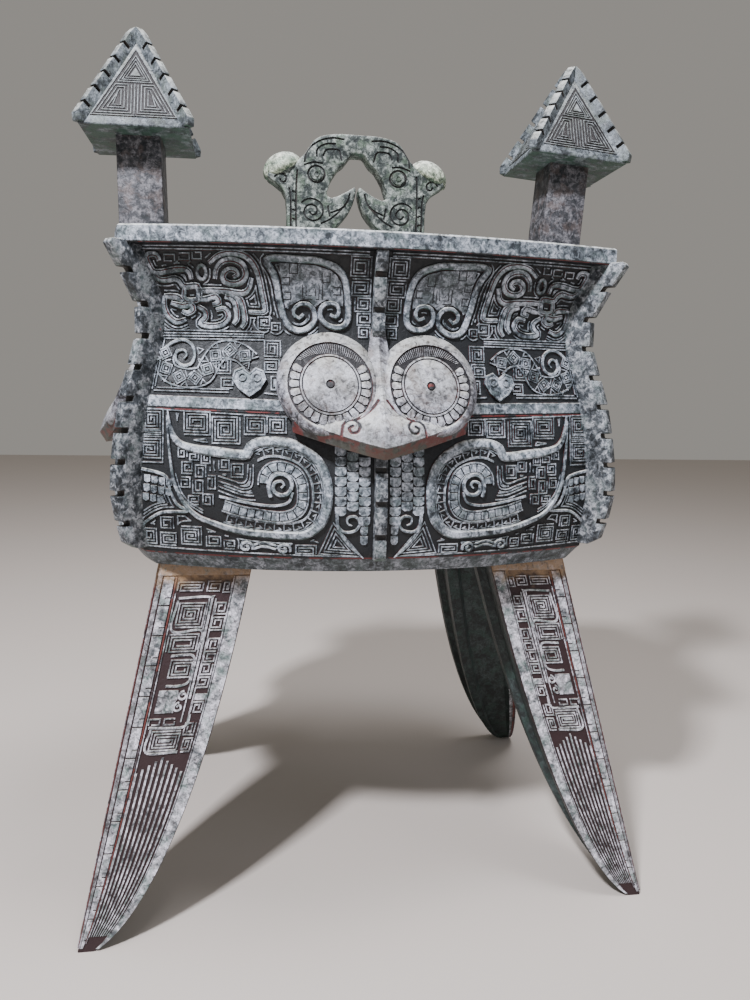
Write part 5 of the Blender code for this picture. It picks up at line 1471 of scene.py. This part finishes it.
for _, foot_x, _ in POSTS:
    deselect()
    outward_shift = math.copysign(0.010, foot_x)
    bpy.ops.mesh.primitive_cube_add(size=1, location=(foot_x + outward_shift, 0, RIM_TOP_Z))
    cutter = bpy.context.object
    cutter.scale = (POST_WIDTH + 4 * LID_CLEARANCE + 0.020, POST_DEPTH + 4 * LID_CLEARANCE, 0.040)
    cut_away(lid_plate, cutter)
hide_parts("lid")
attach(lid_plate, "root")

BIRDS_X = -2.5
BIRD_THICKNESS = 19.0
BIRD_ROUNDING = 0.0018
BIRD_BASE = lid_top * 1000
BIRD_OUTER = ((57.4, BIRD_BASE), (57.6, 521.0), (57.6, 539.8), (58.6, 549.2), (62.0, 555.5), (68.0, 560.2),
    (74.0, 564.0), (72.0, 568.5), (62.0, 573.5), (50.0, 577.5), (43.5, 584.0), (39.5, 590.5), (36.0, 595.5),
    (31.5, 598.7), (26.5, 600.5), (20.0, 601.6), (13.0, 602.2))
BIRD_INNER = ((5.0, 586.5), (8.0, 582.0), (11.0, 578.0), (15.5, 574.5), (19.0, 569.0), (22.0, 563.5),
    (23.5, 558.5), (25.2, 553.5), (24.5, 550.5), (21.0, 549.5), (15.0, 551.6), (9.0, 555.0), (5.0, 557.6),
    (1.8, 560.0), (1.0, 557.0), (1.6, 552.0), (3.5, 545.0), (6.2, 538.8), (10.0, 533.5), (14.2, 528.5),
    (19.0, 524.0), (22.0, 516.0), (23.0, BIRD_BASE))
BIRD_RISE = 0.957           # the share of their drawn height at which the birds stand
BUN = (60.4, 568.9)
BUN_RADIUS = 0.0150
BUN_SHAPE = (1.11, 0.90, 0.89)
BUN_BELLY = 0.30
CHEEK = (37.0, 537.5)
BIRD_EYE = (33.8, 568.0)
BIRD_CUTS = (((43.5, 577), (41.5, 586), (33.5, 594), (22, 598), (11, 597.5)), ((33.5, 582), (33, 588.5),
    (26, 593), (18, 593.5)), ((28.5, 583), (26, 588), (20, 589), (15.5, 588), (13, 580)), ((44, 575),
    (36, 577.5), (28.5, 577)), ((30, 527.5), (22.5, 531.5), (14.5, 538.5), (8, 547), (6, 554)), ((22, 537),
    (15.5, 539.5), (9.5, 543.5)), ((24.2, 543), (22.5, 533.5)), ((49.2, 571), (50, 560), (50.2, 545),
    (50.0, 525), (49.6, 508)), ((56.0, 556), (54.6, 548), (54.4, 530), (54.2, 508)), ((68, 563.5),
    (63.5, 567.5), (58.5, 565), (59, 560.5), (62.5, 560.5), (63, 563)))
BIRD_CELLS = (553, 545.5, 538, 530.5, 523, 515.5)
right_half = BIRD_INNER + BIRD_OUTER
bird_outline = [(x * MM, z * MM) for x, z in right_half + tuple((-x, z) for x, z in reversed(right_half))]


def lowered(up):
    """A height on the birds, drawn in towards their foot."""
    return BIRD_BASE + (up - BIRD_BASE) * BIRD_RISE


def bird_plate(along, up, side):
    """Places a point of the birds' outline on one side of the plate."""
    return (BIRDS_X * MM + along, side, lowered(up / MM) * MM)


birds = cast_plate("lid_birds", bird_outline, bird_plate, BIRD_THICKNESS * MM, BIRD_ROUNDING, LID_PATINA)


def bird_face(sign_x, sign_y):
    """Places drawing millimetres on a bird's front or back face."""
    def place(across, up, out):
        across, up, out = (np.asarray(value, float) for value in (across, up, out))
        y = sign_y * (BIRD_THICKNESS / 2 + out) * MM + 0 * across
        return np.stack(((BIRDS_X + sign_x * across) * MM, y, lowered(up) * MM + 0 * across), axis=-1)
    place.mirrored = sign_x * sign_y > 0
    return place


# The lines are cut into the plate and lined with near-black painted shade; only the eyes stand out from it
bird_drawing, bird_lines = new_relief(), new_relief()
for sign_x in (-1, 1):
    for sign_y in (-1, 1):
        place = bird_face(sign_x, sign_y)
        cuts = [round_spiral(CHEEK, 11.0, 1.6, 1.9, 35, 22)] + [smooth_path(line, 1.6) for line in BIRD_CUTS]
        cuts += [np.array(((51.0, z - 1.2), (52.3, z), (53.6, z))) for z in BIRD_CELLS]
        for line in cuts:
            ridge(bird_lines, place, line, 1.6, 1.4, base=-0.7)
        eye_ring = round_spiral(BIRD_EYE, 6.8, 6.8, 1, 0, 22)[:-1]
        ridge(bird_lines, place, eye_ring, 1.7, 1.4, closed=True, base=-0.7)
        eye_disc = [(BIRD_EYE[0] + 4.9 * math.cos(a), BIRD_EYE[1] + 4.9 * math.sin(a))
                    for a in np.arange(0, 2 * math.pi, 0.35)]
        pad(bird_drawing, place, eye_disc, 1.6)
        ridge(bird_drawing, place, round_spiral(BIRD_EYE, 1.9, 1.9, 1, 0, 14)[:-1], 0.8, 2.5, closed=True)
line_cutter = finish_mesh("lid_bird_lines", np.concatenate(bird_lines["points"]), bird_lines["faces"], PAINTED_CUT_SHADE)
face_outward(line_cutter)
cut_away(birds, line_cutter, use_self=True, material_mode="TRANSFER")
plate_crest = np.full(len(birds.data.vertices), 0.95, np.float32)
birds.data.attributes["crest"].data.foreach_set("value", plate_crest)
relief_piece("lid_bird_relief", bird_drawing, LID_PATINA, 40)

CREST_PATINA = patina("cream_lime_crest_patina", pale="#CDD2BE", middle="#868F7C", dark="#3E473C",
                      tint="#5F7A62", ground="#171A17", red="#5E2A24", red_share=0.0, cloud_mm=9,
                      tint_share=0.4)
for sign, label in ((-1, "left"), (1, "right")):
    deselect()
    bpy.ops.mesh.primitive_uv_sphere_add(segments=40, ring_count=24, radius=BUN_RADIUS)
    bun = bpy.context.object
    bun.name = f"lid_crest_{label}"
    # A domed crest with fine ribs, nearly flat below
    for vertex in bun.data.vertices:
        angle = math.atan2(vertex.co.y, vertex.co.x)
        vertex.co *= 1 + 0.020 * math.cos(angle * 18) * (1 - vertex.co.z**2 / BUN_RADIUS**2)
        vertex.co.z *= 1.0 if vertex.co.z > 0 else BUN_BELLY
    shape = Matrix.Translation(((BIRDS_X + sign * BUN[0]) * MM, 0, BUN[1] * MM))
    shape = shape @ Matrix.Rotation(math.radians(sign * 26), 4, "Y") @ Matrix.Diagonal((*BUN_SHAPE, 1))
    bun.data.transform(shape)
    bpy.ops.object.shade_smooth()
    bun.data.materials.append(CREST_PATINA)
    store = bun.data.attributes.new("crest", "FLOAT", "POINT")
    store.data.foreach_set("value", np.full(len(bun.data.vertices), 0.9, np.float32))
    deselect()
    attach(bun, "root")
